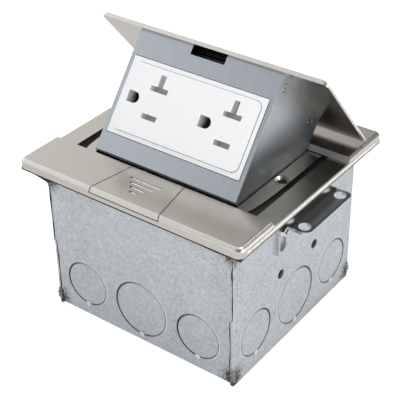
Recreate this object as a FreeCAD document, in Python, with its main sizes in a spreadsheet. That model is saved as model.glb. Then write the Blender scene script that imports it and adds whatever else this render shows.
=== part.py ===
import FreeCAD, Part
import math
import os
import re

import Sketcher

# Floor socket box: galvanised back box, nickel cover and a sprung pop-up receptacle housing.
# Frame: millimetres, X to the right, front face towards -Y, Z up.
# Origin: centre of the underside of the box.  Modelled with the housing up.

V = FreeCAD.Vector
os.makedirs("parts", exist_ok=True)
doc = FreeCAD.newDocument("floor_socket_box")

SIZES = [
    # receptacle: the faces, the strap and everything behind them
    ("plug_x", 19.45), ("plug_shift", 2.7), ("blade_pitch", 12.7), ("face_half_w", 35.6), ("face_half_h", 17.85),
    ("face_proud", 0.3), ("field_inset", 2.1), ("field_proud", 0.9), ("field_corner", 3.2), ("rim_side", 0.5),
    ("rim_end", 4.85), ("rim_back", 3.0), ("hot_half", 4.0), ("slot_half", 1.15), ("tee_half", 4.6),
    ("tee_stem_half", 1.4), ("tee_stem_top", 6.7), ("ground_left", -11.9), ("ground_len", 6.2), ("ground_half", 2.6),
    ("body_side", 1.4), ("body_end", 1.45), ("body_back", 25.0), ("shutter_sheet", 1.2),
    ("shutter_gap", 0.3), ("shutter_travel", 2.6), ("clip_front", 5.2), ("clip_back", 19.0), ("well_gap", 1.0),
    ("strap_sheet", 1.2), ("strap_x", 26.0), ("strap_half", 4.5), ("strap_gap", 0.1), ("strap_short", 0.2),
    ("stud_x", 26.0), ("stud_inset", 2.1), ("stud_r", 1.2), ("stud_length", 6.4), ("stud_gap", 0.1),
    ("terminal_x", 10.0), ("terminal_deep", 14.0), ("terminal_r", 1.5), ("terminal_bite", 2.5),
    # pop-up housing, in its own leaning frame: X across, Y into the housing, Z up its face
    ("face_lean", 12.3), ("shell_depth", 44.5), ("shell_sheet", 1.2), ("shell_bend", 1.5),
    ("side_sheet", 1.5), ("side_room", 0.3), ("foot_room", 5.2), ("head_room", 2.6), ("window_gap", 0.35),
    ("notch_half", 9.0), ("notch_rise", 2.9), ("arm_r", 5.5), ("cord_r", 10.0), ("cord_low", 15.0), ("cord_deep", 24.0),
    ("back_drop", 1.3107), ("bracket_drop", 5.5), ("side_screw_w1", 4.4), ("side_screw_back", 7.8),
    ("side_screw_drop", 3.6), ("screw_sink", 0.75), ("keeper_half", 10.4),
    # hinge
    ("pivot_behind", 9.0), ("pivot_drop", 11.1), ("swing", 50.5), ("pin_r", 2.0), ("running_gap", 0.05),
    ("stop_r", 1.5), ("stop_ahead", 8.9), ("stop_drop", 2.9), ("spring_gap", 0.55), ("spring_r", 3.0),
    # lid
    ("lid_back_gap", 3.2), ("lid_sheet", 2.0), ("lid_corner", 2.0), ("lid_heel", 0.9),
    ("lid_bevel", 1.8), ("lid_screw_x", 28.0), ("lid_screw_y1", 12.0), ("lid_screw_back", 17.0), ("channel_front", 6.0),
    ("channel_short", 12.0),
    # galvanised back box
    ("box_side", 1.5), ("front_room", 19.11183), ("back_room", 20.8), ("box_height", 76.2), ("box_wall", 1.6), ("box_bend", 2.4),
    ("ko_small_r", 11.2), ("ko_large_r", 14.0), ("ko_height", 19.0), ("ko_pitch", 31.5), ("ko_gap", 0.3),
    ("ko_thickness", 1.3), ("seam", 0.35), ("ko_dot_r", 1.5), ("ko_dot_height", 0.25), ("floor_ko_x", 24.0),
    ("wall_hole_r", 2.3), ("wall_hole_z", 38.8), ("wall_hole_y", 13.7), ("wall_hole_shift", 1.2),
    ("tab_half", 9.0), ("tab_reach", 3.4), ("ground_y", 26.0), ("ground_r", 1.95),
    # adjustable mounting brackets, measured down from the top of the box
    ("bracket_sheet", 1.5), ("ear_drop", 14.7), ("ear_width", 8.8), ("ear_front", -8.2), ("ear_back", 30.0),
    ("ear_hole_r", 2.8), ("ear_hole_front", -4.0), ("ear_hole_pitch", 29.6), ("leg_front", -17.2),
    ("foot_drop", 24.5), ("leg_tip", -13.4), ("knee_drop", 20.6), ("web_drop", 7.2), ("slot_y", -14.0),
    ("slot_drop", 21.0), ("slot_length", 8.4), ("slot_r", 2.4),
    # cover
    ("cover_side", 8.9), ("cover_end", 7.7), ("cover_corner", 3.0), ("cover_low", 2.4), ("cover_high", 4.7),
    ("rim_r", 2.0), ("low_rim_r", 0.8), ("rail_width", 15.6), ("rail_gap", 0.5), ("back_slope", 1.7), ("back_lead", 0.5), ("deck", 2.0),
    ("seal_sheet", 1.2), ("seal_inset", 0.6), ("seal_gap", 0.2), ("boss_in_x", 16.3), ("boss_in_y", 7.3),
    ("boss_r", 1.5), ("boss_depth", 3.4),
    # release button and latch
    ("button_front_half", 18.2), ("button_back_half", 13.9), ("button_gap", 0.45), ("button_lift", 0.4),
    ("groove_first", 6.9), ("groove_width", 1.0), ("groove_depth", 0.5), ("stem_half", 2.5),
    ("stem_long", 4.0), ("stem_ahead", 5.3), ("stem_gap", 0.3), ("button_travel", 4.0), ("carriage_half", 7.2),
    ("carriage_ahead", 1.5), ("carriage_drop", 0.8), ("carriage_deep", 5.0), ("carriage_gap", 0.4),
    ("bolt_half", 6.0), ("bolt_drop", 0.6), ("bolt_sheet", 1.2), ("bolt_reach", 2.1), ("bolt_nose", 1.5),
    ("spring_x", 4.6), ("spring_bore_r", 2.1), ("guide_half", 11.0), ("guide_front", 13.7), ("guide_back", 0.8),
    ("guide_gap", 0.2), ("guide_sheet", 1.4),
    # carrier frame under the cover
    ("carrier_sheet", 1.3), ("carrier_gap", 0.2), ("window_side", 1.1), ("window_lead", 1.0), ("cheek_side", 3.1),
    ("cheek_sheet", 1.5), ("cheek_ahead", 13.5), ("cheek_behind", 7.5), ("cheek_drop", 17.9),
    # strips beside the housing
    ("strip_gap", 0.5), ("strip_width", 7.2), ("strip_top", 2.0), ("strip_lead", 0.2), ("strip_short", 1.7),
    ("strip_hole_in", 3.8), ("strip_hole_y", -0.5), ("strip_hole_r", 3.35), ("gasket_top", 0.7), ("moat", 3.2),
    ("moat_gap", 0.1), ("screw_head_r", 2.2), ("strip_draw", 3.4), ("strip_draw_length", 22.0), ("screw_r", 1.75),
]

# What fits round or under another piece follows from that piece and a named clearance.
FOLLOWING = [
    # the receptacle in the housing's face
    ("rim_w", "face_half_w + rim_side"), ("face_centre", "foot_room + rim_end + face_half_h"),
    ("rim_low", "foot_room"), ("rim_high", "face_centre + face_half_h + rim_end"),
    ("window_w", "2 * (face_half_w + window_gap)"), ("window_low", "face_centre - face_half_h - window_gap"),
    ("window_high", "face_centre + face_half_h + window_gap"), ("notch_low", "rim_high + notch_rise"),
    ("body_half_w", "face_half_w - body_side"), ("body_half_h", "face_half_h - body_end"),
    ("shutter_front", "rim_back + shutter_gap"), ("shell_half", "rim_w + side_sheet + side_room"),
    # outwards from the housing to the cover's edge
    ("strip_inner", "shell_half + strip_gap"), ("strip_outer", "strip_inner + strip_width"),
    ("strip_hole_x", "strip_inner + strip_hole_in"), ("window_half", "shell_half + window_side"),
    ("cheek_inner", "shell_half + cheek_side"), ("opening_half", "strip_outer + moat"),
    ("tab_inner", "strip_hole_x - tab_reach"), ("box_width", "2 * (opening_half + box_side)"),
    ("cover_width", "box_width + 2 * cover_side"), ("boss_x", "box_width / 2 - boss_in_x"),
    # from the housing's back to the box's walls, and forwards to the button
    ("face_z", "box_height - rim_high - head_room"),
    ("lean_reach", "(box_height + cover_high - lid_sheet - face_z) * tan(face_lean * 1deg)"),
    ("box_depth", "front_room + lean_reach + shell_depth + back_room"),
    ("face_y", "front_room + lean_reach - box_depth / 2"), ("window_back", "face_y + shell_depth"),
    ("cover_depth", "box_depth + 2 * cover_end"), ("boss_y", "box_depth / 2 - boss_in_y"),
    ("back_foot", "window_back + back_lead - back_slope"), ("back_edge", "window_back + back_lead"),
    ("strip_back", "window_back - strip_short"), ("pivot_y", "window_back + pivot_behind"),
    ("cheek_front", "pivot_y - cheek_ahead"), ("cheek_back", "pivot_y + cheek_behind"),
    ("stop_y", "pivot_y - stop_ahead"), ("rail_y", "rail_width - box_depth / 2"), ("lid_front", "rail_y + rail_gap"),
    ("window_front", "lid_front + window_lead"), ("strip_front", "lid_front - strip_lead"),
    ("stem_back", "rail_y - stem_ahead"), ("stem_front", "stem_back - stem_long"),
    ("carriage_back", "rail_y - carriage_ahead"), ("bolt_tip", "rail_y + bolt_reach"),
    ("lid_length", "back_edge - lid_back_gap - lid_front"), ("lid_screw_y2", "lid_length - lid_screw_back"),
    ("side_screw_w2", "shell_depth - side_screw_back"),
    # down from the top of the box
    ("carrier_low", "box_height - carrier_sheet"), ("cheek_foot", "carrier_low - cheek_drop"),
    ("pivot_z", "box_height - pivot_drop"), ("stop_z", "box_height - stop_drop"),
    ("carriage_high", "box_height - carriage_drop"),
    ("carriage_low", "carriage_high - carriage_deep"), ("bolt_low", "box_height - bolt_drop"),
    ("bolt_high", "bolt_low + bolt_sheet"), ("guide_high", "carriage_low - guide_gap"),
    ("guide_low", "guide_high - guide_sheet"), ("ear_z", "box_height - ear_drop"),
    ("web_top", "box_height - web_drop"), ("leg_foot", "box_height - foot_drop"),
    ("leg_knee", "box_height - knee_drop"), ("slot_low", "box_height - slot_drop"),
    ("slot_high", "slot_low + slot_length"),
    # the housing's frame meets the lid and the hinge
    ("shell_height", "(box_height + cover_high - lid_sheet - face_z) / cos(face_lean * 1deg)"),
    ("pivot_w", "(pivot_y - face_y) * cos(face_lean * 1deg) + (pivot_z - face_z) * sin(face_lean * 1deg)"),
    ("pivot_v", "(pivot_z - face_z) * cos(face_lean * 1deg) - (pivot_y - face_y) * sin(face_lean * 1deg)"),
]

dims = doc.addObject("Spreadsheet::Sheet", "dims")
for row, (alias, value) in enumerate(SIZES + FOLLOWING, start=1):
    dims.set("A%d" % row, alias)
    dims.set("B%d" % row, str(value) if isinstance(value, float) else "=" + value)
    dims.setAlias("B%d" % row, alias)
doc.recompute()
NAMES = {alias for alias, value in SIZES + FOLLOWING}
parts = []


def full(expression):
    """The expression with every sheet name pointing at the sheet."""
    return re.sub(r"[A-Za-z_]\w*", lambda m: "dims." + m.group(0) if m.group(0) in NAMES else m.group(0), str(expression))


def size(expression):
    """The value of an expression in sheet names."""
    return float(dims.evalExpression(full(expression)))


# ---------------------------------------------------------------- features

def new_body(label):
    body = doc.addObject("PartDesign::Body", label)
    body.Label = label
    parts.append(body)
    return body


def fix_point(sketch, index, position, x, y):
    """Ties one point of the sketch to the sheet."""
    for kind, expression, axis in (("DistanceX", x, -2), ("DistanceY", y, -1)):
        value = size(expression)
        if abs(value) < 1e-7:
            sketch.addConstraint(Sketcher.Constraint("PointOnObject", index, position, axis))
        else:
            number = sketch.addConstraint(Sketcher.Constraint(kind, -1, 1, index, position, value))
            sketch.setExpression("Constraints[%d]" % number, full(expression))


def add_polygon(sketch, points):
    start = sketch.GeometryCount
    places = [V(size(x), size(y), 0) for x, y in points]
    count = len(points)
    for i in range(count):
        sketch.addGeometry(Part.LineSegment(places[i], places[(i + 1) % count]), False)
    for i in range(count):
        sketch.addConstraint(Sketcher.Constraint("Coincident", start + i, 2, start + (i + 1) % count, 1))
    for i, (x, y) in enumerate(points):
        fix_point(sketch, start + i, 1, x, y)


def add_circle(sketch, x, y, radius):
    index = sketch.GeometryCount
    sketch.addGeometry(Part.Circle(V(size(x), size(y), 0), V(0, 0, 1), size(radius)), False)
    fix_point(sketch, index, 3, x, y)
    number = sketch.addConstraint(Sketcher.Constraint("Radius", index, size(radius)))
    sketch.setExpression("Constraints[%d]" % number, full(radius))


def new_sketch(body, plane, centre, loops):
    """A sketch on one of the body's planes, moved to `centre` along that plane's axis.

    XY sketches use (x, y), XZ sketches (x, z) and YZ sketches (y, z)."""
    sketch = body.newObject("Sketcher::SketchObject", body.Label + "_sketch")
    base = [item for item in body.Origin.OriginFeatures if item.Role == plane + "_Plane"][0]
    sketch.AttachmentSupport = [(base, "")]
    sketch.MapMode = "FlatFace"
    sign = "-1" if plane == "XZ" else "1"
    sketch.AttachmentOffset = FreeCAD.Placement(V(0, 0, 1), FreeCAD.Rotation())
    sketch.setExpression("AttachmentOffset.Base.z", "%s * (%s)" % (sign, full(centre)))
    for loop in loops:
        if isinstance(loop, list):
            add_polygon(sketch, loop)
        else:
            add_circle(sketch, *loop)
    return sketch


def slab(body, plane, low, high, loops):
    """Adds the loops as a plate between `low` and `high` along the plane's axis."""
    sketch = new_sketch(body, plane, "((%s) + (%s)) / 2" % (low, high), loops)
    pad = body.newObject("PartDesign::Pad", body.Label + "_pad")
    pad.Profile = sketch
    pad.SideType = "Symmetric"
    pad.setExpression("Length", full("(%s) - (%s)" % (high, low)))
    return pad


def cut(body, plane, low, high, loops):
    """Removes the loops between `low` and `high` along the plane's axis."""
    sketch = new_sketch(body, plane, "((%s) + (%s)) / 2" % (low, high), loops)
    pocket = body.newObject("PartDesign::Pocket", body.Label + "_pocket")
    pocket.Profile = sketch
    pocket.SideType = "Symmetric"
    pocket.setExpression("Length", full("(%s) - (%s)" % (high, low)))
    return pocket


def turned(label, profile):
    """A body turned about Z from a profile of (radius, z) points."""
    body = new_body(label)
    sketch = new_sketch(body, "XZ", "0", [profile])
    revolution = body.newObject("PartDesign::Revolution", label + "_turned")
    revolution.Profile = sketch
    revolution.ReferenceAxis = (sketch, ["V_Axis"])
    revolution.Angle = 360
    return body


def pick_edges(body, test):
    """Names of the edges of the body's tip whose ends both pass the test."""
    doc.recompute()
    names = []
    for number, edge in enumerate(body.Tip.Shape.Edges, start=1):
        ends = [vertex.Point for vertex in edge.Vertexes]
        if len(ends) == 2 and all(test(end) for end in ends):
            names.append((number, edge, ends))
    return names


def dress(body, kind, radius, chosen):
    """A fillet or chamfer on the chosen edges."""
    base = body.Tip
    feature = body.newObject("PartDesign::" + kind, body.Label + "_" + kind.lower())
    feature.Base = (base, ["Edge%d" % number for number in chosen])
    feature.setExpression("Radius" if kind == "Fillet" else "Size", full(radius))
    body.Tip = feature
    doc.recompute()
    return feature


def upright(entry):
    number, edge, ends = entry
    return abs(ends[0].x - ends[1].x) < 1e-6 and abs(ends[0].y - ends[1].y) < 1e-6


def near(a, b):
    return abs(a - b) < 1e-3


def rectangle(x0, x1, y0, y1):
    return [(x0, y0), (x1, y0), (x1, y1), (x0, y1)]


def group(label, source, places):
    """One node holding a separate solid of the source body at each place."""
    doc.recompute()
    feature = doc.addObject("Part::Feature", label)
    feature.Label = label
    solids = []
    for place in places:
        shape = source.Shape.copy()
        shape.Placement = place
        solids.append(shape)
    feature.Shape = Part.makeCompound(solids)
    parts.append(feature)
    parts.remove(source)
    return feature


def facing(x, y, z, direction):
    """A place whose local Z points along `direction`."""
    return FreeCAD.Placement(V(x, y, z), FreeCAD.Rotation(V(0, 0, 1), V(*direction)))


# ---------------------------------------------------------------- frames of the moving group

pivot = V(0, size("pivot_y"), size("pivot_z"))
opened = FreeCAD.Placement(V(0, 0, 0), FreeCAD.Rotation(V(1, 0, 0), -size("swing")), pivot)
shell_place = opened.multiply(FreeCAD.Placement(
    V(0, size("face_y"), size("face_z")), FreeCAD.Rotation(V(1, 0, 0), size("face_lean"))))
lid_place = opened.multiply(FreeCAD.Placement(
    V(0, size("lid_front"), size("box_height + cover_high")), FreeCAD.Rotation()))

LID_UNDER = "(shell_height - %s * tan(face_lean * 1deg))"
BOX_X = "(box_width / 2)"
BOX_Y = "(box_depth / 2)"
RAIL_Y = "rail_y"


# ---------------------------------------------------------------- back box

def knockout_circles():
    return [("-ko_pitch", "ko_height", "ko_small_r"), ("0", "ko_height", "ko_large_r"),
            ("ko_pitch", "ko_height", "ko_small_r")]


shell = new_body("box_shell")
inner_y = "(%s - box_wall)" % BOX_Y
slab(shell, "YZ", "box_wall - %s" % BOX_X, "%s - box_wall" % BOX_X, [[
    ("-" + BOX_Y, "0"), (BOX_Y, "0"), (BOX_Y, "box_height"), (inner_y, "box_height"),
    (inner_y, "box_wall"), ("-" + inner_y, "box_wall"), ("-" + inner_y, "box_height"),
    ("-" + BOX_Y, "box_height")]])
fold_edges = pick_edges(shell, lambda p: near(p.z, 0))
dress(shell, "Fillet", "box_bend", [n for n, e, ends in fold_edges if near(ends[0].y, ends[1].y)])
cut(shell, "XZ", "-box_depth", "box_depth", knockout_circles())
cut(shell, "XY", "-box_wall", "2 * box_wall", [
    ("floor_ko_x", "0", "ko_small_r"), ("-floor_ko_x", "0", "ko_small_r"), ("0", "ground_y", "ground_r")])

for side, sign in (("right", "1"), ("left", "-1")):
    plate = new_body("box_side_" + side)
    ends = sorted(["%s * (%s - box_wall)" % (sign, BOX_X), "%s * %s" % (sign, BOX_X)], key=size)
    slab(plate, "YZ", ends[0], ends[1], [
        rectangle("-" + BOX_Y, BOX_Y, "0", "box_height"),
        ("wall_hole_shift + wall_hole_y", "wall_hole_z", "wall_hole_r"),
        ("wall_hole_shift - wall_hole_y", "wall_hole_z", "wall_hole_r"),
        ("slot_y", "slot_high", "screw_r")] + knockout_circles())
    tab = sorted(["%s * tab_inner" % sign, "%s * (%s - box_wall / 2)" % (sign, BOX_X)], key=size)
    slab(plate, "XY", "carrier_low - box_wall", "carrier_low", [
        rectangle(tab[0], tab[1], "-tab_half", "tab_half"),
        ("%s * strip_hole_x" % sign, "strip_hole_y", "screw_r")])
    outer = size(ends[1] if sign == "1" else ends[0])
    seams = [entry[0] for entry in pick_edges(plate, lambda p: near(p.x, outer) and near(abs(p.y), size(BOX_Y)))
             if upright(entry)]
    dress(plate, "Chamfer", "seam", seams)

# Each knockout is a separate flush disc, held at its foot by one raised dot.
for name, radius in (("small", "ko_small_r"), ("large", "ko_large_r")):
    disc = new_body("knockout_disc_" + name)
    slab(disc, "XY", "-ko_thickness", "0", [("0", "0", "%s - ko_gap" % radius)])
    slab(disc, "XY", "0", "ko_dot_height", [("0", "-%s" % radius, "ko_dot_r")])
    reach = [-size("ko_pitch"), size("ko_pitch")] if name == "small" else [0]
    height = size("ko_height")
    places = []
    for offset in reach:
        for turn, distance in ((0, size("box_depth / 2")), (90, size("box_width / 2")),
                               (180, size("box_depth / 2")), (270, size("box_width / 2"))):
            about = FreeCAD.Placement(V(0, 0, 0), FreeCAD.Rotation(V(0, 0, 1), turn))
            stand = FreeCAD.Placement(V(offset, -distance, height), FreeCAD.Rotation(V(1, 0, 0), 90))
            places.append(about.multiply(stand))
        if name == "small":
            floor_x = math.copysign(size("floor_ko_x"), offset)
            places.append(FreeCAD.Placement(V(floor_x, 0, size("box_wall")), FreeCAD.Rotation()))
    group("knockouts_" + name, disc, places)


def screw(label, head_r, head_h, shank_r, length):
    """A cross-recess screw along Z: head top at z = head_h, shank down to -length."""
    outline = [(0, -length), (shank_r, -length), (shank_r, 0), (head_r, 0), (head_r, head_h * 0.35),
               (head_r * 0.75, head_h), (0, head_h)]
    body = turned(label, [(str(r), str(z)) for r, z in outline])
    arm, depth = head_r * 0.52, head_h * 0.5
    half = head_r * 0.13
    cross = [(arm, half), (half, half), (half, arm), (-half, arm), (-half, half), (-arm, half),
             (-arm, -half), (-half, -half), (-half, -arm), (half, -arm), (half, -half), (arm, -half)]
    cut(body, "XY", str(head_h - depth), str(head_h + 1), [[(str(x), str(y)) for x, y in cross]])
    return body


ground = screw("ground_screw", 3.6, 2.4, size("ground_r"), 1.5)
ground.Placement = FreeCAD.Placement(V(0, size("ground_y"), size("box_wall")), FreeCAD.Rotation())

# ---------------------------------------------------------------- mounting brackets

for side, sign in (("right", "1"), ("left", "-1")):
    bracket = new_body("mounting_bracket_" + side)
    wall = [BOX_X, "(%s + bracket_sheet)" % BOX_X]
    web = sorted(["%s * %s" % (sign, x) for x in wall], key=size)
    slab(bracket, "YZ", web[0], web[1], [[
        ("leg_front", "leg_foot"), ("leg_tip", "leg_foot"), ("ear_front", "leg_knee"),
        ("ear_front", "ear_z - bracket_sheet"), ("ear_back", "ear_z - bracket_sheet"),
        ("ear_back", "web_top"), ("leg_front", "web_top")]])
    ear = sorted(["%s * %s" % (sign, BOX_X), "%s * (%s + ear_width)" % (sign, wall[1])], key=size)
    hole_x = "%s * (%s + ear_width / 2)" % (sign, wall[1])
    slab(bracket, "XY", "ear_z - bracket_sheet", "ear_z", [
        rectangle(ear[0], ear[1], "ear_front", "ear_back"),
        (hole_x, "ear_hole_front", "ear_hole_r"),
        (hole_x, "ear_hole_front + ear_hole_pitch", "ear_hole_r")])
    outer = abs(size(wall[1])) + size("ear_width")
    corners = [entry for entry in pick_edges(bracket, lambda p: near(abs(p.x), outer)) if upright(entry)]
    dress(bracket, "Fillet", "ear_width * 0.4", [number for number, edge, tips in corners])
    cut(bracket, "YZ", "-box_width", "box_width", [
        rectangle("slot_y - slot_r", "slot_y + slot_r", "slot_low", "slot_high")])
    cut(bracket, "YZ", "-box_width", "box_width", [("slot_y", "slot_low", "slot_r")])
    cut(bracket, "YZ", "-box_width", "box_width", [("slot_y", "slot_high", "slot_r")])

wall_screw = screw("bracket_screw_pattern", 3.0, 1.8, size("screw_r"), 6.0)
face_x = size("box_width / 2 + bracket_sheet")
group("bracket_screws", wall_screw, [
    facing(face_x, size("slot_y"), size("slot_high"), (1, 0, 0)),
    facing(-face_x, size("slot_y"), size("slot_high"), (-1, 0, 0))])

# ---------------------------------------------------------------- cover

cover = new_body("cover_flange")
half_w, half_d = "(cover_width / 2)", "(cover_depth / 2)"
low_top = "(box_height + cover_low)"
high_top = "(box_height + cover_high)"
slab(cover, "XY", "box_height", low_top, [
    rectangle("-" + half_w, half_w, "-" + half_d, half_d),
    rectangle("-opening_half", "opening_half", RAIL_Y, "back_foot")])
slab(cover, "YZ", "-" + half_w, half_w, [
    [("-" + half_d, low_top), (RAIL_Y, low_top), (RAIL_Y, high_top), ("-" + half_d, high_top)],
    [("back_foot", low_top), (half_d, low_top), (half_d, high_top), ("back_edge", high_top)]])
at_corner = lambda p: near(abs(p.x), size(half_w)) and near(abs(p.y), size(half_d))
dress(cover, "Fillet", "cover_corner", [
    entry[0] for entry in pick_edges(cover, at_corner) if upright(entry)])
top_z = size(high_top)
rim_edges = pick_edges(cover, lambda p: near(p.z, top_z) and (
    near(abs(p.x), size(half_w)) or near(abs(p.y), size(half_d))
    or (abs(p.x) > size(half_w) - size("cover_corner") - 0.01 and abs(p.y) > size(half_d) - size("cover_corner") - 0.01)))
rim = []
for number, edge, tips in rim_edges:
    middle = edge.valueAt((edge.FirstParameter + edge.LastParameter) / 2)
    outside = max(abs(middle.x) - size(half_w), abs(middle.y) - size(half_d))
    if outside > -0.95:
        rim.append(number)
dress(cover, "Fillet", "rim_r", rim)
low_z = size(low_top)
sides = [n for n, e, t in pick_edges(cover, lambda p: near(p.z, low_z) and near(abs(p.x), size(half_w)))]
dress(cover, "Fillet", "low_rim_r", sides)
slot_front = "(-%s - 5)" % half_d
cut(cover, "XY", "box_height + deck", "box_height + cover_high + 2", [[
    ("-(button_front_half + button_gap)", slot_front), ("button_front_half + button_gap", slot_front),
    ("button_front_half + button_gap", "-" + half_d), ("button_back_half + button_gap", RAIL_Y),
    ("button_back_half + button_gap", RAIL_Y + " + 1"), ("-(button_back_half + button_gap)", RAIL_Y + " + 1"),
    ("-(button_back_half + button_gap)", RAIL_Y), ("-(button_front_half + button_gap)", "-" + half_d)]])
cut(cover, "XY", "box_height - 1", "box_height + 0.8", [
    rectangle("-10", "10", "-" + BOX_Y, RAIL_Y + " + 1")])
cut(cover, "XY", "box_height - 1", "box_height + cover_low", [
    rectangle("-(stem_half + stem_gap)", "stem_half + stem_gap", "stem_front - button_travel - stem_gap", "stem_back + stem_gap")])
cut(cover, "XY", "box_height - 1", "box_height + boss_depth", [
    (x, y, "boss_r") for x in ("-boss_x", "boss_x") for y in ("-boss_y", "boss_y")])

seal = new_body("floor_gasket")
slab(seal, "XY", "box_height - seal_sheet", "box_height", [
    rectangle("seal_inset - " + half_w, half_w + " - seal_inset", "seal_inset - " + half_d, half_d + " - seal_inset"),
    rectangle("-%s - seal_gap" % BOX_X, BOX_X + " + seal_gap", "-%s - seal_gap" % BOX_Y, BOX_Y + " + seal_gap")])

# ---------------------------------------------------------------- release button and latch

button = new_body("release_button")
seat = "(box_height + deck + button_lift)"
slab(button, "XY", seat, high_top, [[
    ("-button_front_half", "-" + half_d), ("button_front_half", "-" + half_d),
    ("button_back_half", RAIL_Y), ("-button_back_half", RAIL_Y)]])
front = [n for n, e, t in pick_edges(button, lambda p: near(p.z, top_z) and near(p.y, -size(half_d)))]
dress(button, "Fillet", "rim_r", front)
for length, ahead in ((8.5, "groove_first"), (6.3, "groove_first + 3.0"), (3.9, "groove_first + 5.8"),
                      (1.8, "groove_first + 8.7")):
    depth = "rail_y - (%s)" % ahead
    cut(button, "XY", high_top + " - groove_depth", high_top + " + 1", [rectangle(
        str(-length - 1), str(length - 1), depth + " - groove_width / 2", depth + " + groove_width / 2")])
slab(button, "XY", "carriage_high", seat + " + 0.5", [
    rectangle("-stem_half", "stem_half", "stem_front", "stem_back")])
stem_y = "((stem_front + stem_back) / 2)"
cut(button, "XY", "carriage_high - 1", high_top + " - 1.4", [("0", stem_y, "1.25")])

carriage = new_body("latch_carriage")
slab(carriage, "XY", "carriage_low", "carriage_high", [
    rectangle("-carriage_half", "carriage_half", "stem_front", "carriage_back"), ("0", stem_y, "1.25")])
cut(carriage, "XZ", "stem_front - 1", "carriage_back - 1", [
    ("spring_x", "(carriage_low + carriage_high) / 2", "spring_bore_r"),
    ("-spring_x", "(carriage_low + carriage_high) / 2", "spring_bore_r")])
cut(carriage, "XY", "carriage_low - 1", "carriage_low + 1.7", [("0", stem_y, "2.4")])

button_screw = screw("button_screw", 2.2, 1.4, 1.25, 7.0)
button_screw.Placement = FreeCAD.Placement(
    V(0, size(stem_y), size("carriage_low + 1.7")), FreeCAD.Rotation(V(1, 0, 0), 180))

bolt = new_body("latch_bolt")
slab(bolt, "XY", "bolt_low", "bolt_high", [[
    ("-bolt_half", "stem_front + 0.5"), ("-(stem_half + stem_gap)", "stem_front + 0.5"),
    ("-(stem_half + stem_gap)", "stem_back + stem_gap"), ("stem_half + stem_gap", "stem_back + stem_gap"),
    ("stem_half + stem_gap", "stem_front + 0.5"), ("bolt_half", "stem_front + 0.5"),
    ("bolt_half", "bolt_tip - bolt_nose"), ("bolt_half - bolt_nose", "bolt_tip"),
    ("bolt_nose - bolt_half", "bolt_tip"), ("-bolt_half", "bolt_tip - bolt_nose")]])

guide = new_body("latch_guide")
slab(guide, "XY", "guide_low", "guide_high", [
    rectangle("-guide_half", "guide_half", "rail_y - guide_front", "rail_y - guide_back"),
    rectangle("-(stem_half + 0.7)", "stem_half + 0.7", "stem_front - button_travel - 0.4", "stem_back + 1")])
for sign in ("1", "-1"):
    span = sorted(["%s * (carriage_half + carriage_gap)" % sign, sign + " * guide_half"], key=size)
    slab(guide, "XY", "guide_high - 0.2", "carrier_low", [
        rectangle(span[0], span[1], "rail_y - guide_front", "rail_y - guide_back")])


def coil(radius, wire, pitch, turns):
    """A square-wire coil along Z; `wire` is half the wire's thickness."""
    helix = Part.makeHelix(pitch, pitch * turns, radius)
    corners = [V(radius + a * wire, 0, b * wire) for a, b in ((-1, -1), (1, -1), (1, 1), (-1, 1), (-1, -1))]
    return Part.Wire(helix).makePipeShell([Part.makePolygon(corners)], True, True)


springs = []
for sign in (-1, 1):
    turn = coil(1.5, 0.25, 1.4, 4.5)
    turn.Placement = facing(sign * size("spring_x"), size("stem_front") - 0.4, size("(carriage_low + carriage_high) / 2"), (0, 1, 0))
    springs.append(turn)
button_springs = doc.addObject("Part::Feature", "button_springs")
button_springs.Label = "button_springs"
button_springs.Shape = Part.makeCompound(springs)
parts.append(button_springs)

# ---------------------------------------------------------------- carrier frame, strips, gaskets

carrier = new_body("carrier_frame")
edge_x = "(%s - box_wall - carrier_gap)" % BOX_X
edge_y = "(%s - box_wall - carrier_gap)" % BOX_Y
slab(carrier, "XY", "carrier_low", "box_height", [
    rectangle("-" + edge_x, edge_x, "-" + edge_y, edge_y),
    rectangle("-window_half", "window_half", "window_front", "window_back"),
    ("strip_hole_x", "strip_hole_y", "screw_r"), ("-strip_hole_x", "strip_hole_y", "screw_r")]
    + [(x, y, "boss_r") for x in ("-boss_x", "boss_x") for y in ("-boss_y", "boss_y")])
cut(carrier, "XY", "carrier_low - 1", "box_height + 1", [
    rectangle("-(carriage_half + carriage_gap)", "carriage_half + carriage_gap", "-box_depth", "window_front + 1")])
for sign in ("1", "-1"):
    span = sorted([sign + " * cheek_inner", sign + " * (cheek_inner + cheek_sheet)"], key=size)
    slab(carrier, "YZ", span[0], span[1], [
        [("pivot_y - 7", "cheek_foot"), ("cheek_back - 2", "cheek_foot"), ("cheek_back", "cheek_foot + 2"),
         ("cheek_back", "carrier_low + 0.5"), ("cheek_front", "carrier_low + 0.5"), ("cheek_front", "stop_z - 4")],
        ("pivot_y", "pivot_z", "pin_r"), ("stop_y", "stop_z", "stop_r")])


def strip_edge(gap):
    """The strip's outer edge from front to back: its front corner is drawn in along a curve."""
    return [("strip_outer - strip_draw * %g + %s" % (share, gap), "strip_front + strip_draw_length * %g" % reach)
            for share, reach in ((1.0, 0.0), (0.62, 0.12), (0.36, 0.28), (0.14, 0.55), (0.0, 1.0))]


def strip_outline(gap):
    return [("strip_inner", "strip_front")] + strip_edge(gap) + [
        ("strip_outer + " + gap, "strip_back"), ("strip_inner", "strip_back")]


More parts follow.
